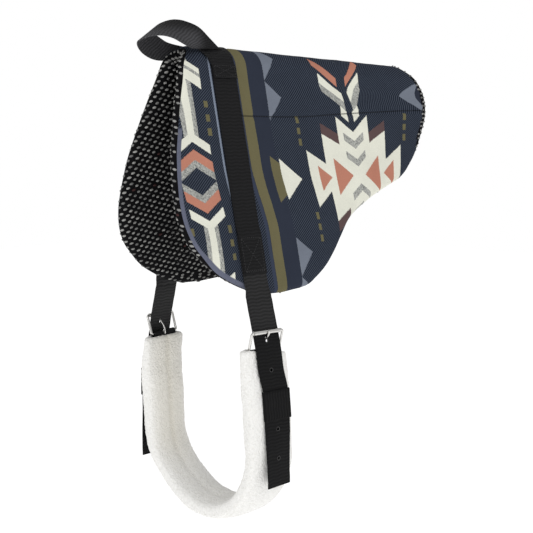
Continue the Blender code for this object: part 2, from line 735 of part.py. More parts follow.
def make_sleeve(material):
    """The fleece sleeve: a fat flat tube bent into a U, with a slot through it for the core."""
    shape = bmesh.new()
    outer, bore = [], []
    chape_half = FRAME_WIRE_RADIUS + CHAPE_CLEARANCE + CHAPE_THICKNESS + 2 * STRAP_CLEARANCE
    core_half = FRAME_WIRE_RADIUS + CHAPE_CLEARANCE
    for down, middle, along, outward in girth_path():
        half = sleeve_half_thickness(down)
        widen = blend(SLEEVE_MOUTH_HALF_WIDTH, SLEEVE_WIDTH / 2, down / SLEEVE_SWELL)
        outer.append(section_ring(shape, middle, along, outward, widen, half, 6))
        if down < MOUTH_BORE_DEPTH - SLEEVE_MOUTH_RISE + BORE_STEP / 2:
            size = (MOUTH_BORE_HALF_WIDTH, MOUTH_BORE_HALF_THICKNESS)
        elif down < CHAPE_LEG + BORE_STEP / 2:
            size = (MOUTH_BORE_HALF_WIDTH, chape_half)
        else:
            size = (MOUTH_BORE_HALF_WIDTH, core_half)
        bore.append(section_ring(shape, middle, along, outward, *size, 6))
    loft(shape, outer)
    loft(shape, bore)
    for end in (0, -1):
        loft(shape, (outer[end], bore[end]))
    return object_from_bmesh("girth_fleece", shape, material)


def make_core(material):
    """The girth's webbing core, held between the two legs of each chape."""
    thickness = 2 * (FRAME_WIRE_RADIUS + CHAPE_CLEARANCE - STRAP_CLEARANCE)
    half = CORE_WIDTH / 2
    path = girth_path()
    height = PAD_THICKNESS - HEEL_BAR_DROP - CORE_START
    ends = []
    for side, (_, _, along, outward) in ((LEFT, path[0]), (RIGHT, path[-1])):
        middle = Vector((GIRTH_RAKE * CORE_START, side * leg_out(CORE_START), height))
        ends.append((middle, along * half, outward))
    inside = [station for station in path if station[0] > CORE_START + BORE_STEP]
    sections = [(middle, along * half, outward) for _, middle, along, outward in inside]
    return make_ribbon("girth_core", ends[:1] + sections + ends[1:], thickness, material)


def make_chape(side, material):
    """Webbing folded round the heel bar, slotted for the tongue, its legs sewn to the core."""
    inner = FRAME_WIRE_RADIUS + CHAPE_CLEARANCE
    outer = inner + CHAPE_THICKNESS
    lean = side * (leg_out(CHAPE_LEG) - leg_out(0.0))
    foot = Vector((GIRTH_RAKE * CHAPE_LEG, lean, -CHAPE_LEG))
    half = CHAPE_WIDTH / 2
    along, outward = buckle_axes(side)
    up = Vector((0.0, 0.0, 1.0))
    shape = bmesh.new()
    rings = []
    for radius in (outer, inner):
        turns = [math.pi * i / 10 for i in range(11)]
        rings.append(
            [heel_bar(side) + (outward * math.cos(turn) + up * math.sin(turn)) * radius for turn in turns]
        )
    line = []
    for fold, radius in zip(rings, (outer, inner)):
        end = heel_bar(side) + foot
        line.append([end + outward * radius] + fold + [end - outward * radius])
    outline = line[0] + list(reversed(line[1]))
    low = [shape.verts.new(point - along * half) for point in outline]
    high = [shape.verts.new(point + along * half) for point in outline]
    loft(shape, (low, high))
    count = len(line[0])
    for ends in (low, high):
        for i in range(count - 1):
            shape.faces.new((ends[i], ends[i + 1], ends[2 * count - 2 - i], ends[2 * count - 1 - i]))
    chape = object_from_bmesh(f"{SIDE_NAMES[side]}_chape", shape, material)
    reach = outer + OVERRUN
    window = ((-1, -CHAPE_SLOT_DROP), (1, -CHAPE_SLOT_DROP), (1, reach), (-1, reach))
    points = [buckle_point(side, across * CHAPE_SLOT_WIDTH / 2, 0.0, rise) for across, rise in window]
    cut(chape, f"{SIDE_NAMES[side]}_chape_slot", points, outward * 2 * reach)
    return chape


def make_keeper(side, material):
    """A webbing loop round the billet's tail, seated on the fleece."""
    shape = bmesh.new()
    loops = ([], [])
    for i in range(5):
        down = KEEPER_TOP + KEEPER_LENGTH * i / 4
        middle, half_width, normal = strap_section(side, down)
        wide = half_width.normalized() * (WEBBING_WIDTH / 2 + KEEPER_SIDE_CLEARANCE)
        deep = normal * (WEBBING_THICKNESS / 2 + KEEPER_FACE_CLEARANCE)
        for loop, extra in zip(loops, (KEEPER_THICKNESS, 0.0)):
            across = wide + half_width.normalized() * extra
            out = deep + normal * extra
            low, high = middle - across, middle + across
            corners = (low - out, high - out, high + out, low + out)
            loop.append([shape.verts.new(corner) for corner in corners])
    for loop in loops:
        loft(shape, loop)
    for end in (0, -1):
        loft(shape, (loops[0][end], loops[1][end]))
    return object_from_bmesh(f"{SIDE_NAMES[side]}_keeper", shape, material)


def handle_sections():
    rear, front = [], []
    for rear_share, front_share in HANDLE_SHARES:
        for line, share in ((rear, rear_share), (front, front_share)):
            line.append(Vector((share[0] * HANDLE_REACH, share[1] * HANDLE_SPREAD, share[2] * HANDLE_RISE)))
    rear, front = smooth_path(rear, HANDLE_SUBSTEPS), smooth_path(front, HANDLE_SUBSTEPS)
    middles = [(a + b) / 2 for a, b in zip(rear, front)]
    sections = []
    for i, middle in enumerate(middles):
        course = middles[min(i + 1, len(middles) - 1)] - middles[max(i - 1, 0)]
        half = (front[i] - rear[i]) / 2
        sections.append((middle, half, course.cross(half)))
    return sections


def make_handle_tab(side, material):
    """The handle's end, sewn flat on the surcingle beside the spine and turned towards its foot."""
    sections = handle_sections()
    (foot, foot_half, _), (following, _, _) = sections[:2] if side == LEFT else sections[:-3:-1]
    foot_half = foot_half * math.copysign(1.0, foot_half.x)
    away = foot - following
    away -= away.project(foot_half)
    foot = foot + away.normalized() * HANDLE_TAB_GAP
    face_depth = -(LAYER_GAP + WEBBING_THICKNESS + STRAP_CLEARANCE)
    sewn_end = RIDGE_HEIGHT + HANDLE_TAB_LENGTH
    drops = (sewn_end, (RIDGE_HEIGHT + sewn_end) / 2, RIDGE_HEIGHT, RIDGE_HEIGHT / 2)
    places = []
    for drop, turn in zip(drops, TAB_TURN_SHARES):
        middle = layer_point(foot.x * turn, drop, face_depth - WEBBING_THICKNESS / 2, side)
        under = layer_point(foot.x * turn, drop, face_depth, side)
        places.append((middle, Vector((WEBBING_WIDTH / 2, 0.0, 0.0)), middle - under))
    places.append((foot, foot_half, away.cross(foot_half) * -side))
    return make_ribbon(f"handle_{SIDE_NAMES[side]}_tab", places, WEBBING_THICKNESS, material)


def build():
    cloth = make_material("woven_cover", (0.045, 0.065, 0.125), 0.9)
    foam = make_material("foam", (0.72, 0.70, 0.62), 0.95)
    grip = make_material("non_slip_cloth", (0.055, 0.055, 0.058), 0.85)
    webbing = make_material("black_webbing", (0.012, 0.012, 0.013), 0.6)
    fleece = make_material("white_fleece", (0.86, 0.85, 0.81), 0.95)
    nickel = make_material("nickel", (0.80, 0.79, 0.77), 0.22, 1.0)
    make_skin("pad_cover", COVER_THICKNESS, False, cloth)
    make_skin("non_slip_lining", LINING_THICKNESS, True, grip)
    make_foam(foam)
    make_surcingle(webbing)
    make_ribbon("handle_loop", handle_sections(), WEBBING_THICKNESS, webbing)
    make_sleeve(fleece)
    make_core(webbing)
    for side in (LEFT, RIGHT):
        make_handle_tab(side, webbing)
        make_billet_anchor(side, webbing)
        make_billet_strap(side, webbing)
        make_billet_tail(side, webbing)
        make_buckle_frame(side, nickel)
        make_roller(side, nickel)
        make_tongue(side, nickel)
        make_chape(side, webbing)
        make_keeper(side, webbing)


clear_scene()
parts = new_collection("bareback_pad")
cutters = new_collection("bareback_pad_cutters")
build()
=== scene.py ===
"""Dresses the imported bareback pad: patterned cover, nubby lining, webbing, roller buckles and girth.

Metres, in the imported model's own frame: -X is the front, -Y the horse's left side, +Z up.
"""

import math
import random

import bmesh
import bpy
import numpy
from mathutils import Matrix, Vector, noise


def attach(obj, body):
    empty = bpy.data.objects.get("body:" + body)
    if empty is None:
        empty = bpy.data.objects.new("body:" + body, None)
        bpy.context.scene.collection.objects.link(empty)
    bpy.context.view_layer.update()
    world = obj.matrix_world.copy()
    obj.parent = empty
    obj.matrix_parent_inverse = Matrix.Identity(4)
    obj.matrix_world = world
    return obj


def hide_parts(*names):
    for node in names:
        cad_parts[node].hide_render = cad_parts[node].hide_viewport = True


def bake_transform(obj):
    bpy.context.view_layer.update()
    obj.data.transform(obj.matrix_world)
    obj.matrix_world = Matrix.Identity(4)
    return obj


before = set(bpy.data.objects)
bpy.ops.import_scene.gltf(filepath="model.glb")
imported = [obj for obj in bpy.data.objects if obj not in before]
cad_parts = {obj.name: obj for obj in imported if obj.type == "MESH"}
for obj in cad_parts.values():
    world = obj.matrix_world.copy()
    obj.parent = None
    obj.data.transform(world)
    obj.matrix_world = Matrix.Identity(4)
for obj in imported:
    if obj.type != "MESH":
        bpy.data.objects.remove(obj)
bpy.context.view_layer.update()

# Sizes that follow the solids; the rear edge, the chapes' width and the tails' spread differ a little
PAD_THICKNESS = 0.016
COVER_THICKNESS = 0.0012
LINING_THICKNESS = 0.0017
LAYER_GAP = 0.0003
SEAM_GAP = 0.0004
EDGE_ROUNDING = 0.009
FLAP_DROP = 0.336
FRONT_REACH = 0.1155
REAR_REACH = 0.451
RIDGE_HALF_WIDTH = 0.020
RIDGE_HEIGHT = 0.022
FLARE = 0.213
REAR_WIDENING = 0.25
REAR_WIDENING_START = 0.100
SPINE_FALL = 0.031
SLANT = math.hypot(1.0, FLARE)
WEBBING_WIDTH = 0.0445
WEBBING_THICKNESS = 0.0016
SURCINGLE_DROP = 0.306
BOX_STITCH_LENGTH = 0.053
SEWN_LAP_RAMP = 0.012
HANDLE_REACH = 0.115
HANDLE_SPREAD = 0.034
HANDLE_RISE = 0.050
HANDLE_TAB_LENGTH = 0.020
HEEL_BAR_HALF_SPAN = 0.102
HEEL_BAR_DROP = 0.410
BUCKLE_TOE = math.radians(6.5)
BUCKLE_RISE = 0.027
BUCKLE_LEAN = 0.008
FRAME_WIDTH = 0.054
FRAME_WIRE_RADIUS = 0.0017
FRAME_ASIDE = 0.0012
FRAME_CORNER = 0.003
ROLLER_RADIUS = 0.0027
ROLLER_BORE_RADIUS = 0.0020
ROLLER_END_GAP = 0.0004
TONGUE_WIRE_RADIUS = 0.0012
TONGUE_EYE_CLEARANCE = 0.00035
BILLET_HINGE_DROP = 0.338
BILLET_STANDOFF = 0.0013
TAIL_LENGTH = 0.188
TAIL_SPREAD_SLOPE = 0.014
TAIL_TRAIL_SLOPE = 0.025
HOLE_PITCH = 0.0412
HOLE_RADIUS = 0.0026
TAIL_HOLES = 4
TONGUE_SLOT_RISE = 0.0162
TONGUE_CROSSING = 0.0166
TONGUE_OPENING = (0.0078, 0.0038)
STRAP_CLEARANCE = 0.0003
MOUTH_CLEARANCE = 0.0010
GIRTH_DEPTH = 0.2445
GIRTH_LEG = 0.138
GIRTH_BELLY = 0.0015
GIRTH_RAKE = 0.070
SLEEVE_WIDTH = 0.0755
SLEEVE_HALF_THICKNESS = 0.0148
SLEEVE_MOUTH_HALF_THICKNESS = 0.0078
SLEEVE_MOUTH_RISE = 0.0033
SLEEVE_SWELL = 0.094
SLEEVE_MOUTH_HALF_WIDTH = 0.0385
MOUTH_BORE_HALF_THICKNESS = 0.0062
MOUTH_BORE_HALF_WIDTH = 0.0310
CHAPE_WIDTH = 0.0455
CHAPE_THICKNESS = 0.0013
CHAPE_CLEARANCE = 0.0008
CHAPE_LEG = 0.036
CHAPE_SLOT_WIDTH = 0.008
CHAPE_SLOT_DROP = 0.008
KEEPER_TOP = 0.053
KEEPER_LENGTH = 0.041
KEEPER_THICKNESS = 0.0011
KEEPER_SIDE_CLEARANCE = 0.0006
KEEPER_FACE_CLEARANCE = 0.0004

FRONT_EDGE_SHARES = (
    (0.0, -0.46), (0.048, -0.585), (0.128, -0.665), (0.253, -0.79), (0.36, -0.885),
    (0.44, -0.945), (0.52, -0.98), (0.60, -1.0), (0.665, -0.993), (0.73, -0.95),
    (0.798, -0.85), (0.855, -0.69), (0.902, -0.53), (0.946, -0.30), (0.978, -0.08), (1.0, 0.17),
)
REAR_EDGE_SHARES = (
    (0.0, 0.937), (0.027, 0.962), (0.068, 0.989), (0.122, 1.009), (0.185, 1.009), (0.247, 0.992),
    (0.31, 0.960), (0.396, 0.909), (0.47, 0.852), (0.53, 0.79), (0.575, 0.70), (0.628, 0.603),
    (0.70, 0.50), (0.786, 0.435), (0.86, 0.383), (0.917, 0.332), (0.955, 0.284), (0.985, 0.23),
    (1.0, 0.12),
)
HANDLE_SHARES = (
    ((0.03, -0.50, 0.275), (-0.33, -0.72, 0.245)),
    ((-0.17, -0.62, 0.54), (-0.52, -0.86, 0.23)),
    ((-0.33, -0.59, 0.80), (-0.68, -0.92, 0.34)),
    ((-0.45, -0.36, 0.94), (-0.82, -0.83, 0.48)),
    ((-0.55, -0.03, 1.0), (-0.92, -0.44, 0.54)),
    ((-0.64, 0.29, 0.94), (-0.98, 0.09, 0.48)),
    ((-0.69, 0.59, 0.82), (-0.98, 0.53, 0.40)),
    ((-0.67, 0.80, 0.68), (-0.90, 0.86, 0.28)),
    ((-0.56, 0.86, 0.56), (-0.80, 0.98, 0.12)),
    ((-0.44, 0.84, 0.44), (-0.65, 1.0, -0.02)),
    ((-0.25, 0.74, 0.36), (-0.49, 0.93, -0.05)),
    ((0.03, 0.56, 0.275), (-0.33, 0.80, 0.06)),
)
TONGUE_SHARES = (
    (-0.33, 0.17), (0.08, 0.41), (0.68, 0.63), (1.27, 0.815), (1.56, 0.96), (1.62, 1.09),
)

# Where the dressed straps and sleeve hang off their solids, and how far the metal stands proud
TAIL_TURN_BACK = math.radians(7.5)
RIGHT_STRAP_FORWARD = 0.0055
RIGHT_STRAP_OUT = 0.0042
LEFT_STRAP_BACK = 0.0058
RIGHT_MOUTH_SAG = 0.007
LEFT_MOUTH_SAG = 0.008
RIGHT_LEG_OUT = 0.0046
RIGHT_LEG_FORWARD = 0.003
NICKEL_PROUD = 0.0002

# The seam along each flap and the lining's lap over the rear edge
SEAM_DOWN = 0.107
SEAM_RISE = 0.0506
SEAM_SAG = ((-0.01, 0.0), (0.03, 0.002), (0.14, 0.005), (0.235, 0.0023), (0.375, -0.0006))
LIP_WIDTH = 0.017
LIP_NUB_STEP = 0.0062

# Stitched boxes, punched holes and nubs
BOX_HALF_WIDTH = 0.0185
PUNCH_DEPTH = 0.012
HOLE_FLOOR = 0.0004
NUB_PITCH = 0.0092
NUB_ROW = 0.0074
NUB_FALL = 0.26
NUB_LENGTH = 0.0066
NUB_WIDTH = 0.0036
NUB_HEIGHT = 0.0026

# The weave's figures, in millimetres: the size of a yarn cell and where each middle lies
YARN_CELL = 0.8
DIAMOND_ALONG = 255.0
HEXAGON_ALONG = -78.0
FIGURES_DOWN = 196.0
PANEL_SEAM_ALONG = -24.0

# The camera: bearing and pitch in radians, lens in millimetres
CAMERA_BEARING = 0.811
CAMERA_PITCH = 0.126
CAMERA_LENS = 77.86
CAMERA_PLACE = (-1.1146, -1.1675, -0.08325)

# Fineness of the dressed pieces
GRID_STEP = 0.0033
RIDGE_ROWS = 9
EDGE_COLUMNS = 8
FRONT_RIM_COLUMNS = 6
EDGE_TURNS = (18, 36, 54, 72, 90)
MIDDLE_COLUMNS = 132
STRAP_STEP = 0.004
SLEEVE_AROUND = 120
SLEEVE_STEP = 0.0018

LEFT, RIGHT = -1, 1
SIDE_NAMES = {LEFT: "left", RIGHT: "right"}
UP = Vector((0.0, 0.0, 1.0))
random.seed(11)


# Shapes that the solids are made from


def smooth_curve(value, table):
    last = len(table) - 1
    if value <= table[0][0]:
        return table[0][1]
    if value >= table[last][0]:
        return table[last][1]
    i = next(k for k in range(last) if value <= table[k + 1][0])
    slopes = []
    for k in (i, i + 1):
        low, high = max(k - 1, 0), min(k + 1, last)
        slopes.append((table[high][1] - table[low][1]) / (table[high][0] - table[low][0]))
    span = table[i + 1][0] - table[i][0]
    t = (value - table[i][0]) / span
    return (
        table[i][1] * (2 * t**3 - 3 * t**2 + 1)
        + slopes[0] * span * (t**3 - 2 * t**2 + t)
        + table[i + 1][1] * (3 * t**2 - 2 * t**3)
        + slopes[1] * span * (t**3 - t**2)
    )


def smooth_path(points, substeps):
    path = []
    last = len(points) - 1
    for i in range(last):
        before, here = points[max(i - 1, 0)], points[i]
        there, after = points[i + 1], points[min(i + 2, last)]
        for k in range(substeps):
            t = k / substeps
            path.append(
                0.5
                * (
                    2 * here
                    + (there - before) * t
                    + (2 * before - 5 * here + 4 * there - after) * t**2
                    + (3 * here - before - 3 * there + after) * t**3
                )
            )
    path.append(points[last])
    return path


def ease(low, high, share):
    share = min(max(share, 0.0), 1.0)
    return low + (high - low) * share * share * (3 - 2 * share)


def fade_in(share):
    """From 0 to 1, level at both ends."""
    return ease(0.0, 1.0, share)


def fade_out(share):
    """From 1 to 0, level at both ends."""
    return ease(1.0, 0.0, share)


def layer_point(x, drop, depth, side):
    """A point of the pad's section, drop below the spine's top and depth under the cover's face."""
    if drop < RIDGE_HEIGHT:
        cosine = 1 - drop / RIDGE_HEIGHT
        sine = math.sqrt(1 - cosine * cosine)
        fall = depth + (RIDGE_HEIGHT - depth) * (1 - cosine)
        out = (RIDGE_HALF_WIDTH - depth * (SLANT - FLARE)) * sine + FLARE * (fall - depth)
    else:
        fall = drop
        out = RIDGE_HALF_WIDTH - depth * SLANT + FLARE * drop
    rear_share = max(0.0, (x - REAR_WIDENING_START) / (REAR_REACH - REAR_WIDENING_START))
    out *= 1 + REAR_WIDENING * rear_share**1.5
    return Vector((x, side * out, PAD_THICKNESS - fall - SPINE_FALL * max(0.0, x)))


def front_edge(drop):
    return FRONT_REACH * smooth_curve(drop / FLAP_DROP, FRONT_EDGE_SHARES)


def rear_edge(drop):
    return REAR_REACH * smooth_curve(drop / FLAP_DROP, REAR_EDGE_SHARES)


def flap_normal(side):
    return Vector((0.0, side, FLARE)).normalized()


def cloth_table():
    """Pairs of drop and distance down the cloth from the spine."""
    table = [(0.0, 0.0)]
    before = layer_point(0.0, 0.0, 0.0, RIGHT)
    for i in range(1, 61):
        drop = RIDGE_HEIGHT * (1 - math.cos(math.pi / 2 * i / 60))
        here = layer_point(0.0, drop, 0.0, RIGHT)
        table.append((drop, table[-1][1] + (here - before).length))
        before = here
    table.append((1.0, table[-1][1] + (1.0 - RIDGE_HEIGHT) * SLANT))
    return numpy.array(table)


CLOTH_TABLE = cloth_table()


def cloth_down(drop):
    return numpy.interp(drop, CLOTH_TABLE[:, 0], CLOTH_TABLE[:, 1])


def drop_at(down):
    return numpy.interp(down, CLOTH_TABLE[:, 1], CLOTH_TABLE[:, 0])


def heel_bar(side):
    return Vector((0.0, side * HEEL_BAR_HALF_SPAN, PAD_THICKNESS - HEEL_BAR_DROP))


def buckle_axes(side):
    along = Vector((math.cos(BUCKLE_TOE), side * math.sin(BUCKLE_TOE), 0.0))
    outward = Vector((-math.sin(BUCKLE_TOE), side * math.cos(BUCKLE_TOE), 0.0))
    return along, outward


def buckle_point(side, along, outward, up):
    bar, face = buckle_axes(side)
    return heel_bar(side) + bar * along + face * outward + UP * up


def sleeve_half_thickness(down):
    share = (down + SLEEVE_MOUTH_RISE) / (SLEEVE_SWELL + SLEEVE_MOUTH_RISE)
    share = min(max(share, 0.0), 1.0)
    swell = SLEEVE_HALF_THICKNESS - SLEEVE_MOUTH_HALF_THICKNESS
    return SLEEVE_MOUTH_HALF_THICKNESS + swell * math.sin(math.pi / 2 * share)


def leg_out(down):
    return HEEL_BAR_HALF_SPAN + GIRTH_BELLY * min(down / GIRTH_LEG, 1.0)


def strap_out(down):
    """The billet's distance from the middle plane, down below the heel bar (up is negative)."""
    roller_down = -BUCKLE_RISE
    roller_back = HEEL_BAR_HALF_SPAN + BUCKLE_LEAN - ROLLER_RADIUS
    behind_roller = roller_back - STRAP_CLEARANCE - WEBBING_THICKNESS / 2
    hinge_down = BILLET_HINGE_DROP - HEEL_BAR_DROP
    standoff = BILLET_STANDOFF + WEBBING_THICKNESS / 2
    at_hinge = -layer_point(0.0, BILLET_HINGE_DROP, -standoff, LEFT).y
    if down <= roller_down:
        run = (down - hinge_down) / (roller_down - hinge_down)
        return at_hinge + (behind_roller - at_hinge) * run
    lift = STRAP_CLEARANCE + WEBBING_THICKNESS / 2
    keeper_lift = KEEPER_THICKNESS + STRAP_CLEARANCE + KEEPER_FACE_CLEARANCE
    resting = leg_out(down) + sleeve_half_thickness(down) + lift
    mouth = leg_out(0.0) + sleeve_half_thickness(0.0) + lift + MOUTH_CLEARANCE
    if down <= 0.0:
        return behind_roller + (mouth - behind_roller) * (down - roller_down) / -roller_down
    keeper_end = KEEPER_TOP + KEEPER_LENGTH
    settled = min(down / KEEPER_TOP, 1.0)
    if down <= keeper_end:
        return resting + keeper_lift * fade_in(settled) + MOUTH_CLEARANCE * (1 - settled)
    return strap_out(keeper_end) + TAIL_SPREAD_SLOPE * (down - keeper_end)


def strap_section(side, down):
    """Middle, half width and inward face normal of a hanging billet, down below the heel bar."""
    step = WEBBING_THICKNESS
    slope = (strap_out(down + step) - strap_out(down - step)) / (2 * step)
    toe = BUCKLE_TOE - TAIL_TURN_BACK * fade_in((down - KEEPER_TOP - KEEPER_LENGTH) / 0.08)
    along = Vector((math.cos(toe), side * math.sin(toe), 0.0))
    trail = TAIL_TRAIL_SLOPE * max(down + BUCKLE_RISE, 0.0)
    out = strap_out(down)
    if side == RIGHT:
        beside = fade_in(down / 0.045)
        trail -= RIGHT_STRAP_FORWARD * beside
        out += RIGHT_STRAP_OUT * beside
    else:
        trail += LEFT_STRAP_BACK * fade_in((down - 0.020) / 0.045)
    middle = Vector((trail, side * out, PAD_THICKNESS - HEEL_BAR_DROP - down))
    course = Vector((0.0, side * slope, -1.0)).normalized()
    return middle, along * WEBBING_WIDTH / 2, course.cross(along) * side


def girth_stations(step):
    """The girth's middle line from the left mouth to the right one: down, middle, along, outward."""
    places = []
    for i in range(int((GIRTH_LEG + SLEEVE_MOUTH_RISE) / step) + 1):
        down = -SLEEVE_MOUTH_RISE + i * step
        places.append((leg_out(down), down))
    bowl_depth = GIRTH_DEPTH - GIRTH_LEG
    turns = int(bowl_depth * 1.57 / step)
    for i in range(turns + 1):
        angle = math.pi / 2 * i / turns
        places.append((leg_out(GIRTH_LEG) * math.cos(angle), GIRTH_LEG + bowl_depth * math.sin(angle)))
    both = [(-out, down) for out, down in places] + [(out, down) for out, down in reversed(places[:-1])]
    path = []
    for i, (out, down) in enumerate(both):
        before, after = both[max(i - 1, 0)], both[min(i + 1, len(both) - 1)]
        course = Vector((0.0, after[0] - before[0], before[1] - after[1])).normalized()
        outward = course.cross(Vector((1.0, 0.0, 0.0)))
        middle = Vector((GIRTH_RAKE * max(down, 0.0), out, PAD_THICKNESS - HEEL_BAR_DROP - down))
        toe = BUCKLE_TOE * outward.y**2
        along = Vector((math.cos(toe), 0.0, 0.0)) + outward * math.sin(toe)
        outward = outward * math.cos(toe) - Vector((math.sin(toe), 0.0, 0.0))
        path.append((down, middle, along, outward))
    return path


# Values and node groups that the materials share


class Field:
    """A value that a material works out at each point; arithmetic on it adds nodes to its tree."""

    def __init__(self, tree, socket):
        self.tree = tree
        self.socket = socket

    def math(self, operation, *others, clamp=False):
        node = self.tree.nodes.new("ShaderNodeMath")
        node.operation = operation
        node.use_clamp = clamp
        for place, value in zip(node.inputs, (self, *others)):
            put(value, place)
        return Field(self.tree, node.outputs[0])

    def __add__(self, other):
        return self.math("ADD", other)

    def __sub__(self, other):
        return self.math("SUBTRACT", other)

    def __rsub__(self, other):
        return self.math("MULTIPLY_ADD", -1.0, other)

    def __mul__(self, other):
        return self.math("MULTIPLY", other)

    def __truediv__(self, other):
        return self.math("DIVIDE", other)

    def __lt__(self, other):
        return self.math("LESS_THAN", other)

    def __gt__(self, other):
        return self.math("GREATER_THAN", other)

    def __and__(self, other):
        return self.math("MULTIPLY", other)

    def __or__(self, other):
        return self.math("MAXIMUM", other)

    def size(self):
        return self.math("ABSOLUTE")

    def wave(self, pitch):
        """From 0 to 1 and back once in each pitch."""
        return (self * (2 * math.pi / pitch)).math("SINE").math("MULTIPLY_ADD", 0.5, 0.5)

    def ramp(self, low, high):
        """From 0 at low to 1 at high, level at both ends."""
        node = self.tree.nodes.new("ShaderNodeMapRange")
        node.interpolation_type = "SMOOTHSTEP"
        for label, value in (("Value", self), ("From Min", low), ("From Max", high)):
            put(value, node.inputs[label])
        return Field(self.tree, node.outputs["Result"])


def put(value, place):
    """Gives a node's socket a number, a plain colour or what another node works out."""
    if isinstance(value, Field):
        value.tree.links.new(value.socket, place)
    elif isinstance(value, tuple):
        place.default_value = (*value, 1.0)
    else:
        place.default_value = value


def between(value, low, high):
    return (value > low) & (value < high)


def wedge(across, away, base, tip, half):
    """A triangle on the line away = 0, with its flat side at base and its point at tip."""
    return (across < base) & (away < (across - tip) * (half / (base - tip)))


def mixed(tree, under, over, mask):
    """One colour laid over another where the mask is 1."""
    node = tree.nodes.new("ShaderNodeMix")
    node.data_type = "RGBA"
    for k, value in ((6, under), (7, over), (0, mask)):
        put(value, node.inputs[k])
    return Field(tree, node.outputs[2])


def shaded(colour, share):
    """A colour made lighter or darker by a number."""
    node = colour.tree.nodes.new("ShaderNodeVectorMath")
    node.operation = "SCALE"
    put(colour, node.inputs[0])
    put(share, node.inputs["Scale"])
    return Field(colour.tree, node.outputs[0])


def new_group(name, inputs, outputs):
    """A node group's tree, the values of its inputs and the node that gives its outputs."""
    tree = bpy.data.node_groups.new(name, "ShaderNodeTree")
    for way, rows in (("INPUT", inputs), ("OUTPUT", outputs)):
        for label, kind, *value in rows:
            item = tree.interface.new_socket(label, in_out=way, socket_type="NodeSocket" + kind)
            if value:
                item.default_value = value[0]
    source = tree.nodes.new("NodeGroupInput")
    values = [Field(tree, source.outputs[row[0]]) for row in inputs]
    return tree, values, tree.nodes.new("NodeGroupOutput")


def noise_field(place, scale, detail):
    node = place.tree.nodes.new("ShaderNodeTexNoise")
    for label, value in (("Vector", place), ("Scale", scale), ("Detail", detail)):
        put(value, node.inputs[label])
    return Field(place.tree, node.outputs["Fac"])


def make_fibre_group():
    """Uneven colour of yarn or pile: a soft blotch and a fine grain, as a share near 1."""
    tree, (place, grain, depth), result = new_group(
        "fibre_shade",
        [("Place", "Vector"), ("Grain", "Float", 900.0), ("Depth", "Float", 0.2)],
        [("Shade", "Float"), ("Height", "Float")],
    )
    fine = noise_field(place, grain, 3.0)
    blotch = noise_field(place, 24.0, 2.0)
    put(((fine - 0.5) * 1.6 + (blotch - 0.5) * 0.7) * depth + 1.0, result.inputs["Shade"])
    put(fine, result.inputs["Height"])
    return tree


def make_twill_group():
    """Fine diagonal lines that rise to the right, in millimetres along and down the cloth."""
    tree, (along, down, pitch), result = new_group(
        "twill_lines",
        [("Along", "Float"), ("Down", "Float"), ("Pitch", "Float", 2.9)],
        [("Line", "Float"), ("Yarn", "Float")],
    )
    turn = math.radians(38)
    across = (along * math.sin(turn) + down * math.cos(turn)) / pitch
    line = across.wave(1.0).ramp(0.50, 0.95)
    beads = (along * math.cos(turn) - down * math.sin(turn)).wave(2.2).math("MULTIPLY_ADD", 0.65, 0.35)
    put(line * beads, result.inputs["Line"])
    put(along.wave(0.8) * 0.5 + down.wave(0.8) * 0.5, result.inputs["Yarn"])
    return tree


NAVY = (0.016, 0.020, 0.031)
CREAM = (0.77, 0.77, 0.67)
SALMON = (0.50, 0.215, 0.15)
OLIVE = (0.148, 0.133, 0.070)
STEEL_BLUE = (0.178, 0.200, 0.245)
MAROON = (0.110, 0.070, 0.070)
SLATE = (0.088, 0.108, 0.145)
PLAIN_NAVY = (0.029, 0.035, 0.053)


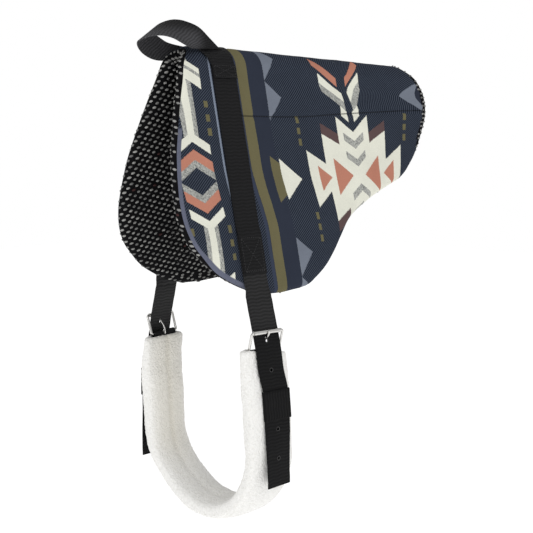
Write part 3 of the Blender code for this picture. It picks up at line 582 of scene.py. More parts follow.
def make_figure_group():
    """The stepped diamond, feathers, chevrons and stripes of the weave, mirrored about its middle.

    Along is measured from the surcingle's middle and Down from the spine, in millimetres. In each
    list of layers a later one lies over the ones before it, and ground clears them away again.
    """
    tree, (along, down, wander, ground), result = new_group(
        "woven_figures",
        [("Along", "Float"), ("Down", "Float"), ("Wander", "Float", 0.0),
         ("Ground", "Color", (*NAVY, 1.0))],
        [("Color", "Color"), ("Figure", "Float")],
    )
    u, v = (((place + wander) / YARN_CELL).math("FLOOR") * YARN_CELL + YARN_CELL / 2
            for place in (along, down))
    cell = tree.nodes.new("ShaderNodeCombineXYZ")
    for k, value in enumerate((u, v)):
        put((value / (2 * YARN_CELL)).math("FLOOR"), cell.inputs[k])
    speck = tree.nodes.new("ShaderNodeTexWhiteNoise")
    put(Field(tree, cell.outputs[0]), speck.inputs["Vector"])
    heather = mixed(tree, (0.20, 0.205, 0.195), (0.50, 0.505, 0.47), Field(tree, speck.outputs["Value"]))

    p = (u - DIAMOND_ALONG).size()
    q = (v - FIGURES_DOWN).size()
    skewed = ((177.0 - p) * 0.2 + v - FIGURES_DOWN).size() - 83.5
    blue = wedge(p, (skewed.math("MODULO", 57.0) - 28.5).size(), 177.0, 146.0, 28.5) & (q > 83.5)
    dashes = between(p, 117.0, 124.0) & between(q, 49.0, 94.5)
    reach = (p < 35.2) * (p * 0.71 + 66.0)
    reach = reach + between(p, 35.2, 72.8) * ((p - 35.0) * 0.47 + 48.0)
    reach = reach + between(p, 72.8, 111.2) * ((p - 73.0) * 0.56 + 21.0)
    chevron = q - p * 0.6
    vane = q - p * 0.69
    behind_surcingle = (
        (PLAIN_NAVY, between(p, 177.0, 232.0)),
        ((0.042, 0.052, 0.082), between(p, 229.0, 236.0)),
        (OLIVE, between(p, 209.0, 229.0)),
        (STEEL_BLUE, blue),
        (OLIVE, wedge(p, q, 190.0, 132.0, 33.0)),
        (CREAM, wedge(p, q, 172.0, 131.0, 30.0)),
        (OLIVE, dashes & ((q - 49.0).math("MODULO", 16.5) < 10.0)),
        (MAROON, between(p, 35.2, 72.8) & between(q - reach, 0.0, 16.0)),
        (CREAM, q < reach),
        (heather, (p < 23.0) & (between(chevron, 40.0, 52.0) | between(chevron, 13.0, 24.0))),
        (SALMON, wedge(p, q, 54.0, 15.0, 28.0) | wedge(p, q, 92.0, 64.0, 19.0)),
        (SALMON, between(p, 12.0, 60.0) & between(vane, 126.5, 140.0)),
        (CREAM, between(p, 8.0, 52.0) & between(vane, 106.5, 120.5)),
        (heather, between(p, 8.0, 52.0) & between(vane, 93.0, 106.5)),
        (CREAM, between(p, 6.0, 20.0) & between(vane, 77.0, 93.0)),
    )
    side = (u - HEXAGON_ALONG).size()
    slope = q + side * 0.57
    inside = side < 31.0
    stem = q > 59.0
    marks = between(side, 31.0, 38.0) & between(q, 61.0, 108.0)
    before_surcingle = (
        (CREAM, (side < 6.0) & stem),
        (heather, between(side, 6.0, 13.0) & stem),
        (ground, inside & (slope < 53.0)),
        (SALMON, inside & between(slope, 29.0, 43.0)),
        (heather, inside & between(slope, 18.5, 29.0)),
        (CREAM, inside & (between(slope, 53.0, 66.0) | between(slope, 141.0, 169.0))),
        (heather, inside & between(slope, 156.5, 161.5)),
        (OLIVE, marks & ((q - 61.0).math("MODULO", 19.0) < 10.0)),
    )

    colour, figure = ground, 0.0
    panels = ((u > PANEL_SEAM_ALONG, behind_surcingle), (u < PANEL_SEAM_ALONG, before_surcingle))
    for panel, layers in panels:
        for paint, mask in layers:
            mask = mask & panel
            colour = mixed(tree, colour, paint, mask)
            figure = figure & (1.0 - mask) if paint is ground else mask | figure
    edge = between(u + (1.0 - v.ramp(0.0, 28.0)) * 8.0, -27.5, -23.5)
    put(mixed(tree, colour, (0.225, 0.262, 0.335), edge), result.inputs["Color"])
    put(figure | edge, result.inputs["Figure"])
    return tree


def make_webbing_group():
    """Ribs across the webbing and its two raised edges, from the strap's own lengthways map; its shade is
    painted shade, darker in the troughs between ribs and cords and in the groove inside each edge.
    """
    tree, (across, along, half, pitch), result = new_group(
        "webbing_weave",
        [("Across", "Float"), ("Along", "Float"), ("Half Width", "Float", 22.0), ("Pitch", "Float", 4.7)],
        [("Shade", "Float"), ("Height", "Float")],
    )
    wobble = (across * 0.35).math("SINE") * 0.12
    rib = (along / pitch + wobble).wave(1.0)
    cords = across.wave(1.5)
    from_edge = half - across.size()
    rim = 1.0 - from_edge.ramp(0.8, 2.0)
    groove = between(from_edge, 2.0, 3.0)
    # Painted shade: darker in the troughs of the ribs and cords and in the groove by each edge
    put(rib * 0.62 + cords * 0.16 + 0.62 - groove * 0.22, result.inputs["Shade"])
    put(rib * (1.0 - rim) * 0.7 + cords * 0.3 + rim * 0.35 - groove * 0.35, result.inputs["Height"])
    return tree


# Materials


def place_group(tree, group, **values):
    """A group placed in a material with its own values; gives what its outputs work out."""
    node = tree.nodes.new("ShaderNodeGroup")
    node.node_tree = group
    for label, value in values.items():
        put(value, node.inputs[label.replace("_", " ")])
    return [Field(tree, socket) for socket in node.outputs]


def new_material(name, roughness, **settings):
    material = bpy.data.materials.new(name)
    material.use_nodes = True
    shader = material.node_tree.nodes["Principled BSDF"]
    for label, value in {"Roughness": roughness, **settings}.items():
        put(value, shader.inputs[label.replace("_", " ")])
    return material, material.node_tree, shader


def map_millimetres(tree):
    """The piece's own flat map, in millimetres across and along."""
    node = tree.nodes.new("ShaderNodeUVMap")
    node.uv_map = "UVMap"
    split = tree.nodes.new("ShaderNodeSeparateXYZ")
    put(Field(tree, node.outputs["UV"]), split.inputs[0])
    return [Field(tree, split.outputs[k]) * 1000.0 for k in (0, 1)]


def object_place(tree):
    return Field(tree, tree.nodes.new("ShaderNodeTexCoord").outputs["Object"])


def point_value(tree, name):
    """A number that the mesh keeps at each of its points."""
    node = tree.nodes.new("ShaderNodeAttribute")
    node.attribute_name = name
    return Field(tree, node.outputs["Fac"])


def fibres(tree, grain, depth):
    """Shade and height of the yarn or pile."""
    return place_group(tree, fibre_group, Place=object_place(tree), Grain=grain, Depth=depth)


def finish_surface(shader, colour, height, distance):
    """Gives a material its colour and its fine relief."""
    tree = colour.tree
    node = tree.nodes.new("ShaderNodeBump")
    put(distance, node.inputs["Distance"])
    put(height, node.inputs["Height"])
    put(colour, shader.inputs["Base Color"])
    put(Field(tree, node.outputs["Normal"]), shader.inputs["Normal"])


def make_cover_material():
    """The patterned weave, with painted shade darkening its seam's groove, a painted highlight on its front
    rim, and black at the rear lap.
    """
    material, tree, shader = new_material("woven_cover_finish", 0.94, Specular_IOR_Level=0.05)
    along, down = map_millimetres(tree)
    line, yarn = place_group(tree, twill_group, Along=along, Down=down)
    fibre, pile = fibres(tree, 1300.0, 0.30)
    ground = mixed(tree, NAVY, SLATE, line)
    wander = (pile - 0.5) * 3.2
    colour, figure = place_group(tree, figure_group, Along=along, Down=down, Wander=wander, Ground=ground)
    # Painted shade: the weave is darkened to 0.4 within about 1.5 mm of the seam line, where its groove lies
    sewn = point_value(tree, "from_seam").size().ramp(0.4, 1.5) * 0.60 + 0.40
    # Painted highlight: the rounded columns of the front rim, low on the flap, are lightened to slate blue
    colour = mixed(tree, colour, (0.125, 0.135, 0.185), point_value(tree, "painted_rim_highlight"))
    colour = mixed(tree, colour, (0.006, 0.006, 0.007), point_value(tree, "rear_lip").ramp(0.3, 0.7))
    colour = shaded(colour, (fibre + (yarn - 0.5) * 0.16) * sewn)
    height = line * (1.0 - figure) * 0.6 + yarn * 0.25 + pile * 0.4 + figure * 0.5
    finish_surface(shader, colour, height, 0.0005)
    return material


def make_webbing_material(name, colour, half_width=22.25):
    material, tree, shader = new_material(name, 0.62, Specular_IOR_Level=0.10)
    across, along = map_millimetres(tree)
    rib, height = place_group(tree, webbing_group, Across=across, Along=along, Half_Width=half_width)
    fibre, pile = fibres(tree, 1500.0, 0.35)
    # Painted light: webbing is made up to six times lighter where its points carry the handle's painted
    # light share
    painted_lighting = point_value(tree, "painted_handle_light") * 5.0 + 1.0
    dye = tree.nodes.new("ShaderNodeRGB")
    put(colour, dye.outputs[0])
    colour = shaded(Field(tree, dye.outputs[0]), rib * fibre * painted_lighting)
    finish_surface(shader, colour, height + pile * 0.3, 0.0006)
    return material


def make_plain_material(name, dark, light, grain, roughness, distance, **settings):
    """A finish whose colour wanders between two shades with its fibres or scratches."""
    material, tree, shader = new_material(name, roughness, **settings)
    fibre, pile = fibres(tree, grain, 1.0)
    share = (fibre - 1.0).math("MULTIPLY_ADD", 0.7, 0.5, clamp=True)
    finish_surface(shader, mixed(tree, dark, light, share), pile, distance)
    return material


def make_nub_material():
    """Nubs of the lining: each has its own shade, and a few are dark red."""
    material, tree, shader = new_material("lining_nubs_finish", 0.72, Specular_IOR_Level=0.1)
    own = point_value(tree, "nub_shade")
    fibre, pile = fibres(tree, 1600.0, 0.5)
    grey = mixed(tree, (0.15, 0.15, 0.148), (0.34, 0.338, 0.325), own)
    colour = mixed(tree, grey, (0.055, 0.025, 0.025), own > 0.990)
    finish_surface(shader, shaded(colour, fibre), pile, 0.0003)
    return material


def make_fleece_material():
    """Curly pile, with painted shade: darker between its curls, and darker and yellower on the side towards
    the horse.
    """
    material, tree, shader = new_material("fleece_finish", 0.95, Specular_IOR_Level=0.08)
    curl = tree.nodes.new("ShaderNodeTexVoronoi")
    put(330.0, curl.inputs["Scale"])
    put(object_place(tree), curl.inputs["Vector"])
    tuft = Field(tree, curl.outputs["Distance"])
    fibre, pile = fibres(tree, 700.0, 0.5)
    # Painted shade in the crevices between curls, where the bump sinks, mixed with random tone of the pile
    share = (tuft * 0.7 - (fibre - 1.0) * 0.6).ramp(0.25, 1.1)
    colour = mixed(tree, (0.90, 0.893, 0.870), (0.77, 0.754, 0.705), share)
    # Painted shade: darker and yellower where the sleeve's points carry its share of inner shade
    colour = mixed(tree, colour, (0.74, 0.705, 0.615), point_value(tree, "painted_inner_shade") * 0.8)
    finish_surface(shader, colour, pile * 0.6 - tuft * 0.6, 0.0016)
    return material


# Mesh helpers


def deselect_all():
    bpy.ops.object.select_all(action="DESELECT")


def only(obj):
    deselect_all()
    obj.select_set(True)
    bpy.context.view_layer.objects.active = obj


def name_piece(obj, name, *materials):
    obj.name = name
    obj.data.name = name
    obj.data.materials.clear()
    for material in materials:
        obj.data.materials.append(material)
    return obj


def add_primitive(operator, name, *materials, **settings):
    """A new primitive, added with nothing else selected."""
    deselect_all()
    operator(**settings)
    return name_piece(bpy.context.object, name, *materials)


def link_new(name, data, *materials):
    """A new object in the scene for a mesh, curve, light or camera."""
    obj = bpy.data.objects.new(name, data)
    bpy.context.scene.collection.objects.link(obj)
    for material in materials:
        data.materials.append(material)
    return obj


def apply_modifier(obj, kind, **settings):
    only(obj)
    modifier = obj.modifiers.new(kind.lower(), kind)
    for label, value in settings.items():
        setattr(modifier, label, value)
    bpy.ops.object.modifier_apply(modifier=modifier.name)


def edit_all(obj, operator, **settings):
    """Runs one edit-mode operator on a whole mesh."""
    only(obj)
    bpy.ops.object.mode_set(mode="EDIT")
    bpy.ops.mesh.select_all(action="SELECT")
    operator(**settings)
    bpy.ops.object.mode_set(mode="OBJECT")


def smooth_shade(obj, degrees=40):
    only(obj)
    bpy.ops.object.shade_smooth_by_angle(angle=math.radians(degrees))


def set_point_values(mesh, name, values):
    """Keeps a number at each point of a mesh, for its material to read."""
    attribute = mesh.attributes.new(name, "FLOAT", "POINT")
    attribute.data.foreach_set("value", numpy.asarray(values, numpy.float32))


def ring_faces(count, size, closed):
    """Faces between rings of points that follow one another."""
    faces = []
    for i in range(count if closed else count - 1):
        following = (i + 1) % count
        for k in range(size):
            after = (k + 1) % size
            faces.append((i * size + k, i * size + after, following * size + after, following * size + k))
    return faces


def turn_outwards(mesh):
    """Deletes faces that have no area and turns the others outwards."""
    shape = bmesh.new()
    shape.from_mesh(mesh)
    empty = [face for face in shape.faces if face.calc_area() < 1e-14]
    bmesh.ops.delete(shape, geom=empty, context="FACES_ONLY")
    bmesh.ops.recalc_face_normals(shape, faces=shape.faces)
    shape.to_mesh(mesh)
    shape.free()


def grid_piece(name, points, uvs, material):
    """A flat grid laid through rows of points; uvs are metres along and down the cloth."""
    obj = add_primitive(
        bpy.ops.mesh.primitive_grid_add, name, material,
        x_subdivisions=len(points[0]) - 1, y_subdivisions=len(points) - 1, size=1.0,
    )
    mesh = obj.data
    mesh.vertices.foreach_set("co", numpy.asarray(points, numpy.float32).ravel())
    corner = numpy.zeros(len(mesh.loops), numpy.int32)
    mesh.loops.foreach_get("vertex_index", corner)
    flat = numpy.asarray(uvs, numpy.float32).reshape(-1, 2)[corner]
    mesh.uv_layers["UVMap"].data.foreach_set("uv", flat.ravel())
    mesh.update()
    return obj


def ribbon(name, sections, thickness, material, closed=False, wave=0.0):
    """Webbing through sections of middle, half width and face normal, with rounded edges."""
    face = [((-1.0 + 0.2 * i) * 0.985, 0.5) for i in range(11)]
    ring = face + [(1.0, 0.18), (1.0, -0.18)] + [(share, -high) for share, high in reversed(face)]
    ring += [(-1.0, -0.18), (-1.0, 0.18)]
    vertices, marks = [], []
    run = 0.0
    for i, (middle, half, normal) in enumerate(sections):
        if i:
            run += (middle - sections[i - 1][0]).length
        normal = normal.normalized()
        wander = wave * noise.noise(middle * 90.0)
        for share, high in ring:
            fine = 0.25 * wave * noise.noise(middle * 260.0 + half * share * 9)
            vertices.append(middle + half * share + normal * (thickness * high + wander + fine))
            marks.append((share * half.length, run))
    faces = ring_faces(len(sections), len(ring), closed)
    if not closed:
        for start in (0, (len(sections) - 1) * len(ring)):
            faces += [(start + k, start + k + 1, start + 22 - k, start + 23 - k) for k in range(11)]
    mesh = bpy.data.meshes.new(name)
    mesh.from_pydata(vertices, [], faces)
    layer = mesh.uv_layers.new(name="UVMap")
    for item in mesh.loops:
        layer.data[item.index].uv = marks[item.vertex_index]
    turn_outwards(mesh)
    obj = link_new(name, mesh, material)
    smooth_shade(obj, 50)
    return obj


def copies(name, places, material):
    """One mesh of many copies of the bead: each place is a matrix."""
    base = numpy.array([vertex.co for vertex in bead.data.vertices])
    polygons = [tuple(face.vertices) for face in bead.data.polygons]
    vertices, faces = [], []
    for i, place in enumerate(places):
        turn = numpy.array(place)
        vertices.append(base @ turn[:3, :3].T + turn[:3, 3])
        faces.extend([tuple(k + i * len(base) for k in face) for face in polygons])
    mesh = bpy.data.meshes.new(name)
    mesh.from_pydata(numpy.concatenate(vertices).tolist(), [], faces)
    mesh.shade_smooth()
    return link_new(name, mesh, material)


def remove_piece(obj):
    bpy.data.objects.remove(obj, do_unlink=True)


def make_bead():
    """A round bead 1 metre across, which is squeezed to make each stitch and each nub."""
    return add_primitive(bpy.ops.mesh.primitive_uv_sphere_add, "bead", segments=6, ring_count=4, radius=0.5)


def basis(middle, along, normal, length, width, height):
    """A matrix that lays the bead along a direction, on a surface with that normal."""
    along = along.normalized()
    across = normal.cross(along).normalized()
    normal = along.cross(across)
    place = Matrix((along * length, across * width, normal * height)).transposed().to_4x4()
    place.translation = middle
    return place


def stitch_row(path, normals, pitch=0.0036, share=0.68, width=0.0008, height=0.0008):
    """Places of the stitches along a path of points."""
    places = []
    lengths = [0.0]
    for a, b in zip(path, path[1:]):
        lengths.append(lengths[-1] + (b - a).length)
    count = max(int(lengths[-1] / pitch), 1)
    for i in range(count):
        run = lengths[-1] * (i + 0.5) / count
        k = next(j for j in range(1, len(lengths)) if run <= lengths[j] + 1e-9) - 1
        t = (run - lengths[k]) / max(lengths[k + 1] - lengths[k], 1e-9)
        middle = path[k].lerp(path[k + 1], t)
        normal = normals[k].lerp(normals[k + 1], t)
        places.append(basis(middle, path[k + 1] - path[k], normal, pitch * share, width, height))
    return places


def dress(obj, slot, body, *nodes):
    """Hides the solids that a piece stands for and hangs it on the body it rides on, if it has one; its slot
    is not used.
    """
    if nodes:
        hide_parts(*nodes)
    if body:
        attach(obj, body)
    return obj


# The pad's cover and lining


def outline_points():
    drops = [FLAP_DROP * i / 120 for i in range(121)]
    front = [(front_edge(drop), drop * SLANT) for drop in drops]
    rear = [(rear_edge(drop), drop * SLANT) for drop in reversed(drops)]
    return numpy.array(front + rear)


OUTLINE = outline_points()


def outline_distances(places):
    best = numpy.full(len(places), 1.0)
    for start, end in zip(OUTLINE, OUTLINE[1:]):
        course = end - start
        length = (course**2).sum()
        if length == 0.0:
            continue
        share = numpy.clip((places - start) @ course / length, 0.0, 1.0)
        gap = places - start - share[:, None] * course
        best = numpy.minimum(best, numpy.hypot(gap[:, 0], gap[:, 1]))
    return best


def lip_turns(drop):
    """How far past the front and the rear edge the lining wraps on to the outer side, in degrees."""
    share = drop / FLAP_DROP
    front = 18 + 27 * fade_out((share - 0.80) / 0.10)
    return front, 16 + 66 * fade_out((share - 0.34) / 0.16)


def flap_rows():
    drops = [RIDGE_HEIGHT * (1 - math.cos(math.pi / 2 * i / RIDGE_ROWS)) for i in range(1, RIDGE_ROWS + 1)]
    last = FLAP_DROP - EDGE_ROUNDING / SLANT
    count = int((last - RIDGE_HEIGHT) / GRID_STEP)
    drops += [RIDGE_HEIGHT + (last - RIDGE_HEIGHT) * i / count for i in range(1, count + 1)]
    for turn in EDGE_TURNS:
        drops.append(FLAP_DROP - EDGE_ROUNDING * (1 - math.sin(math.radians(turn))) / SLANT)
    return drops


def row_places(drop, lining):
    """Place along the pad, turn round the edge and place along the cloth of each column in a row."""
    front, rear = front_edge(drop), rear_edge(drop)
    down = drop * SLANT
    front_lip, rear_lip = lip_turns(drop)
    ends = []
    for edge, other, turn in ((front, rear, front_lip), (rear, front, rear_lip)):
        limit = edge + 0.42 * (other - edge)
        room = outline_distances(numpy.array([[limit, down]]))[0] * 0.97
        shrink = min(1.0, room / EDGE_ROUNDING)
        last = 90.0 + turn if lining else 90.0 - turn
        turns = numpy.array([last * k / (EDGE_COLUMNS - 1) for k in range(EDGE_COLUMNS)])
        insets = EDGE_ROUNDING * (1 - numpy.sin(numpy.radians(turns))) * shrink
        low = numpy.full(len(turns), edge)
        high = numpy.full(len(turns), limit)
        for _ in range(15):
            middle = (low + high) / 2
            near = outline_distances(numpy.stack([middle, numpy.full(len(turns), down)], 1)) < insets
            low = numpy.where(near, middle, low)
            high = numpy.where(near, high, middle)
        wrap = (numpy.radians(turns) - numpy.sin(numpy.radians(turns))) * EDGE_ROUNDING * shrink
        ends.append((high, turns, high + math.copysign(1.0, edge - other) * wrap))
    (start, start_turns, start_cloth), (end, end_turns, end_cloth) = ends
    inner = numpy.linspace(start[0], end[0], MIDDLE_COLUMNS + 1)[1:-1]
    places = numpy.concatenate([start[::-1], inner, end])
    turns = numpy.concatenate([start_turns[::-1], numpy.zeros(len(inner)), end_turns])
    cloth = numpy.concatenate([start_cloth[::-1], inner, end_cloth])
    return places, turns, cloth


def seam_down(x):
    """Distance down the cloth of the seam that runs along each flap."""
    return SEAM_DOWN - SEAM_RISE * (x + 0.004) + smooth_curve(x, SEAM_SAG)


def relief(x, down, distance, side):
    """How far the cover stands proud of the solid's face: soft between the seams, pressed by straps."""
    inland = fade_in(distance / 0.022)
    proud = 0.0013 * inland
    proud += 0.0011 * inland * noise.noise(Vector((x * 16, down * 16, 7.0 * side)))
    proud += 0.00035 * noise.noise(Vector((x * 55, down * 55, 3.0 * side)))
    if x > 0.0:
        from_seam = abs(down - seam_down(x))
        pucker = 0.0004 * noise.noise(Vector((x * 210, 1.0, side))) * math.exp(-((from_seam / 0.009) ** 2))
        proud += (pucker - 0.0015 * math.exp(-((from_seam / 0.0034) ** 2))) * inland
    from_strap = max(abs(x) - WEBBING_WIDTH / 2, 0.0)
    pressed = 1.0 - fade_in(from_strap / 0.016)
    return proud * (1.0 - pressed) - 0.0002 * pressed


def skin_grid(lining):
    """Points and cloth places of the cover or the lining, from the left hem over to the right."""
    drops = flap_rows()
    rows = [row_places(drop, lining) for drop in drops]
    spine = row_places(0.0, lining)
    half = PAD_THICKNESS / 2 - SEAM_GAP / 2
    points, uvs = [], []
    stations = [(LEFT, drop, row) for drop, row in zip(reversed(drops), reversed(rows))]
    stations += [(LEFT, 0.0, spine)] + [(RIGHT, drop, row) for drop, row in zip(drops, rows)]
    for side, drop, (places, turns, cloth_places) in stations:
        down = drop * SLANT
        cloth = float(cloth_down(drop))
        from_hem = (FLAP_DROP - drop) * SLANT / EDGE_ROUNDING
        if from_hem < 1.0:
            cloth += EDGE_ROUNDING * (math.asin(1.0 - from_hem) - 1.0 + from_hem)
        distances = outline_distances(numpy.stack([places, numpy.full(len(places), down)], 1))
        line, marks = [], []
        for x, turn, distance, along in zip(places, turns, distances, cloth_places):
            share = min(distance / EDGE_ROUNDING, 1.0)
            depth = half * (1 - math.sqrt(max(0.0, 1 - (1 - share) ** 2)))
            if turn > 90.0:
                depth = 2 * half - depth
            if lining:
                depth = PAD_THICKNESS - depth
            else:
                depth -= relief(x, cloth, distance, side)
            line.append(layer_point(x, drop, depth, side))
            marks.append((float(along), cloth))
        points.append(line)
        uvs.append(marks)
    return points, uvs, stations


def drape(marks):
    """The weave's own place for each place on the pad: it leans back below and at the rear."""
    result = []
    for row in marks:
        line = []
        for x, down in row:
            along, below = x * 1000, down * 1000
            lean = (11.0 if x < 0 else 16.0) * fade_in((below - 170) / 105)
            lean *= fade_out((along - 130) / 125)
            if along > DIAMOND_ALONG:
                lean -= 0.0026 * (along - DIAMOND_ALONG) * (below - 130)
            # Above the seam the weave runs forward as it nears the spine
            above = min(max(95.0 - below, 0.0), 40.0)
            if above > 0.0 and along > 60:
                along += 0.0055 * above * above * fade_in((along - 60) / 120)
                beyond = max(along - DIAMOND_ALONG, 0.0)
                along += beyond * (0.55 - 0.0021 * beyond) * fade_in(above / 35.0)
            line.append(((along - lean) / 1000, (below + 0.055 * max(0.0, along - 150)) / 1000))
        result.append(line)
    return result


def thicken(skin, thickness, outward):
    """Turns a sheet's faces away from the horse or towards it, and gives it its thickness."""
    face = skin.data.polygons[len(skin.data.polygons) // 3]
    if (face.normal.y * face.center.y > 0) != outward:
        edit_all(skin, bpy.ops.mesh.flip_normals)
    apply_modifier(skin, "SOLIDIFY", thickness=thickness, offset=-1.0)
    smooth_shade(skin, 60)


def lip_width(drop):
    """How far the lining laps over the cover from the rear edge."""
    return LIP_WIDTH * fade_out((drop / FLAP_DROP - 0.32) / 0.14)


def make_nub_piece(name, places):
    """Nubs at these places, each with a shade of its own."""
    nubs = copies(name, places, nub_finish)
    size = len(nubs.data.vertices) // len(places)
    set_point_values(nubs.data, "nub_shade", numpy.repeat([random.random() for _ in places], size))
    return dress(nubs, "non_slip_cloth", "pad")


def make_lip_nubs(points, stations):
    """Nubs where the lining laps over the cover along the rear edge."""
    places = []
    for i in range(1, len(points), 2):
        side, drop, (along_x, _, _) = stations[i]
        room = along_x[-1] - rear_edge(drop) + lip_width(drop)
        line = numpy.array([tuple(point) for point in points[i]])
        for k in range(3):
            back = 0.0012 + LIP_NUB_STEP * (k + 0.5 * (i // 2 % 2))
            if back > room:
                break
            here = Vector([numpy.interp(along_x[-1] - back, along_x, line[:, axis]) for axis in range(3)])
            course = Vector((1.0, 0.0, 0.35))
            places.append(basis(here, course, flap_normal(side), 0.0056, 0.0034, NUB_HEIGHT))
    return make_nub_piece("lip_nubs", places)


def make_cover():
    """The woven cover, with the painted shade of its seam, the painted highlight of its front rim and the
    lining's lap marked on it.
    """
    points, marks, stations = skin_grid(False)
    cover = grid_piece("woven_cover", points, drape(marks), cover_finish)
    gaps = [1000 * (down - seam_down(x)) if x > 0.010 else 60.0 for row in marks for x, down in row]
    rims = [
        1.0 if k < FRONT_RIM_COLUMNS and down > 0.125 else 0.0
        for row in marks for k, (_, down) in enumerate(row)
    ]
    lips = []
    for _, drop, (along_x, _, _) in stations:
        border = rear_edge(drop) - lip_width(drop)
        lips += [1.0 if lip_width(drop) > 0.004 and x > border else 0.0 for x in along_x]
    for name, values in (("from_seam", gaps), ("painted_rim_highlight", rims), ("rear_lip", lips)):
        set_point_values(cover.data, name, values)
    make_lip_nubs(points, stations)
    thicken(cover, COVER_THICKNESS, True)
    return dress(cover, "woven_cover", "pad", "pad_cover")


def make_lining():
    points, marks, stations = skin_grid(True)
    lining = grid_piece("nubby_lining", points, marks, lining_finish)
    thicken(lining, LINING_THICKNESS, False)
    dress(lining, "non_slip_cloth", "pad", "non_slip_lining")
    return make_nubs(points, stations)


def make_nubs(points, stations):
    """The lining's nubs in leaning rows, each laid on the sheet with its long side along the pad."""
    grid = numpy.array([[tuple(point) for point in row] for row in points])
    signed = [side * float(cloth_down(drop)) for side, drop, _ in stations]
    along_x = numpy.array([places for _, _, (places, _, _) in stations])
    places = []
    count = int((signed[-1] + NUB_FALL * REAR_REACH) / NUB_ROW) + 1
    for j in range(-count, count + 1):
        for m in range(-16, 56):
            away = (m + 0.5 * (j % 2)) * NUB_PITCH
            down = j * NUB_ROW + away * NUB_FALL
            if abs(down) > signed[-1]:
                continue
            i = min(max(int(numpy.searchsorted(signed, down)), 1), len(signed) - 1)
            share = (down - signed[i - 1]) / (signed[i] - signed[i - 1])
            line = grid[i - 1] * (1 - share) + grid[i] * share
            x_line = along_x[i - 1] * (1 - share) + along_x[i] * share
            steps = numpy.linalg.norm(numpy.diff(line, axis=0), axis=1)
            lengths = numpy.concatenate([[0.0], steps.cumsum()])
            flat = slice(EDGE_COLUMNS, -EDGE_COLUMNS)
            run = numpy.interp(0.0, x_line[flat], lengths[flat]) + away
            if run < 0.0012 or run > lengths[-1] - 0.0008:
                continue
            k = int(numpy.searchsorted(lengths, run))
            t = (run - lengths[k - 1]) / max(lengths[k] - lengths[k - 1], 1e-9)
            place = Vector(line[k - 1] * (1 - t) + line[k] * t)
            course = Vector(line[k] - line[k - 1]).normalized()
            fall = Vector(grid[i][k] - grid[i - 1][k]).normalized()
            normal = fall.cross(course).normalized()
            course = course - fall * math.copysign(0.35, down)
            wobble = Vector((random.uniform(-0.0004, 0.0004), 0.0, random.uniform(-0.0003, 0.0003)))
            length = NUB_LENGTH * random.uniform(0.88, 1.10)
            places.append(basis(place + wobble, course, normal, length, NUB_WIDTH, NUB_HEIGHT))
    return make_nub_piece("lining_nubs", places)


# Webbing on the pad


def surface_at(x, drop, lift, side):
    """Point on the cover's face and the outward direction there."""
    here = layer_point(x, drop, -lift, side)
    return here, (here - layer_point(x, drop, 0.001 - lift, side)).normalized()


def make_surcingle():
    half = Vector((WEBBING_WIDTH / 2, 0.0, 0.0))
    lap = WEBBING_THICKNESS + STRAP_CLEARANCE
    lap_start = SURCINGLE_DROP - BOX_STITCH_LENGTH - STRAP_CLEARANCE
    flat = LAYER_GAP + WEBBING_THICKNESS / 2
    drops = [RIDGE_HEIGHT * (1 - math.cos(math.pi / 2 * i / 8)) for i in range(1, 9)]
    count = int((SURCINGLE_DROP - RIDGE_HEIGHT) / STRAP_STEP)
    drops += [RIDGE_HEIGHT + (SURCINGLE_DROP - RIDGE_HEIGHT) * i / count for i in range(1, count + 1)]
    sections = []
    for side, rows in ((LEFT, reversed(drops)), (RIGHT, [0.0] + drops)):
        for drop in rows:
            lift = flat + lap * fade_in((drop - lap_start + SEWN_LAP_RAMP) / SEWN_LAP_RAMP)
            middle, normal = surface_at(0.0, drop, lift, side)
            if drop == 0.0:
                normal = UP
            sway = 0.0005 * noise.noise(Vector((drop * 30, side, 4.0)))
            sections.append((middle + Vector((sway, 0.0, 0.0)), half, normal))
    strap = ribbon("surcingle_webbing", sections, WEBBING_THICKNESS, webbing_finish, wave=0.0003)
    return dress(strap, "black_webbing", "pad", "surcingle")


def flap_path(places, lift, side):
    """Points on a flap and their normals along straight runs between (x, drop) places."""
    path, normals = [], []
    for (ax, ad), (bx, bd) in zip(places, places[1:]):
        count = max(int(math.hypot(bx - ax, bd - ad) / STRAP_STEP), 1)
        for i in range(count + (1 if (bx, bd) == places[-1] else 0)):
            t = i / count
            middle, normal = surface_at(ax + (bx - ax) * t, ad + (bd - ad) * t, lift, side)
            path.append(middle)
            normals.append(normal)
    return path, normals


def sew(name, side, lift, runs, **thread):
    """Black stitching on a flap, along runs of (x, drop) places."""
    places = []
    for run in runs:
        places += stitch_row(*flap_path(run, lift, side), **thread)
    dress(copies(f"{SIDE_NAMES[side]}_{name}", places, thread_finish), "black_webbing", "pad")


def box_and_cross(half, top, bottom):
    return [
        ((-half, top), (half, top), (half, bottom), (-half, bottom), (-half, top)),
        ((-half, top), (half, bottom)),
        ((half, top), (-half, bottom)),
    ]


def make_box_stitches():
    """Box and cross stitching where each billet is sewn under the surcingle, and its bar tack."""
    lift = 2 * WEBBING_THICKNESS + LAYER_GAP + STRAP_CLEARANCE + 0.0001
    top, bottom = SURCINGLE_DROP - BOX_STITCH_LENGTH + 0.004, SURCINGLE_DROP - 0.0035
    tack = ((-BOX_HALF_WIDTH, bottom - 0.0016), (BOX_HALF_WIDTH, bottom - 0.0016))
    for side in (LEFT, RIGHT):
        sew("box_stitching", side, lift, box_and_cross(BOX_HALF_WIDTH, top, bottom) + [tack])


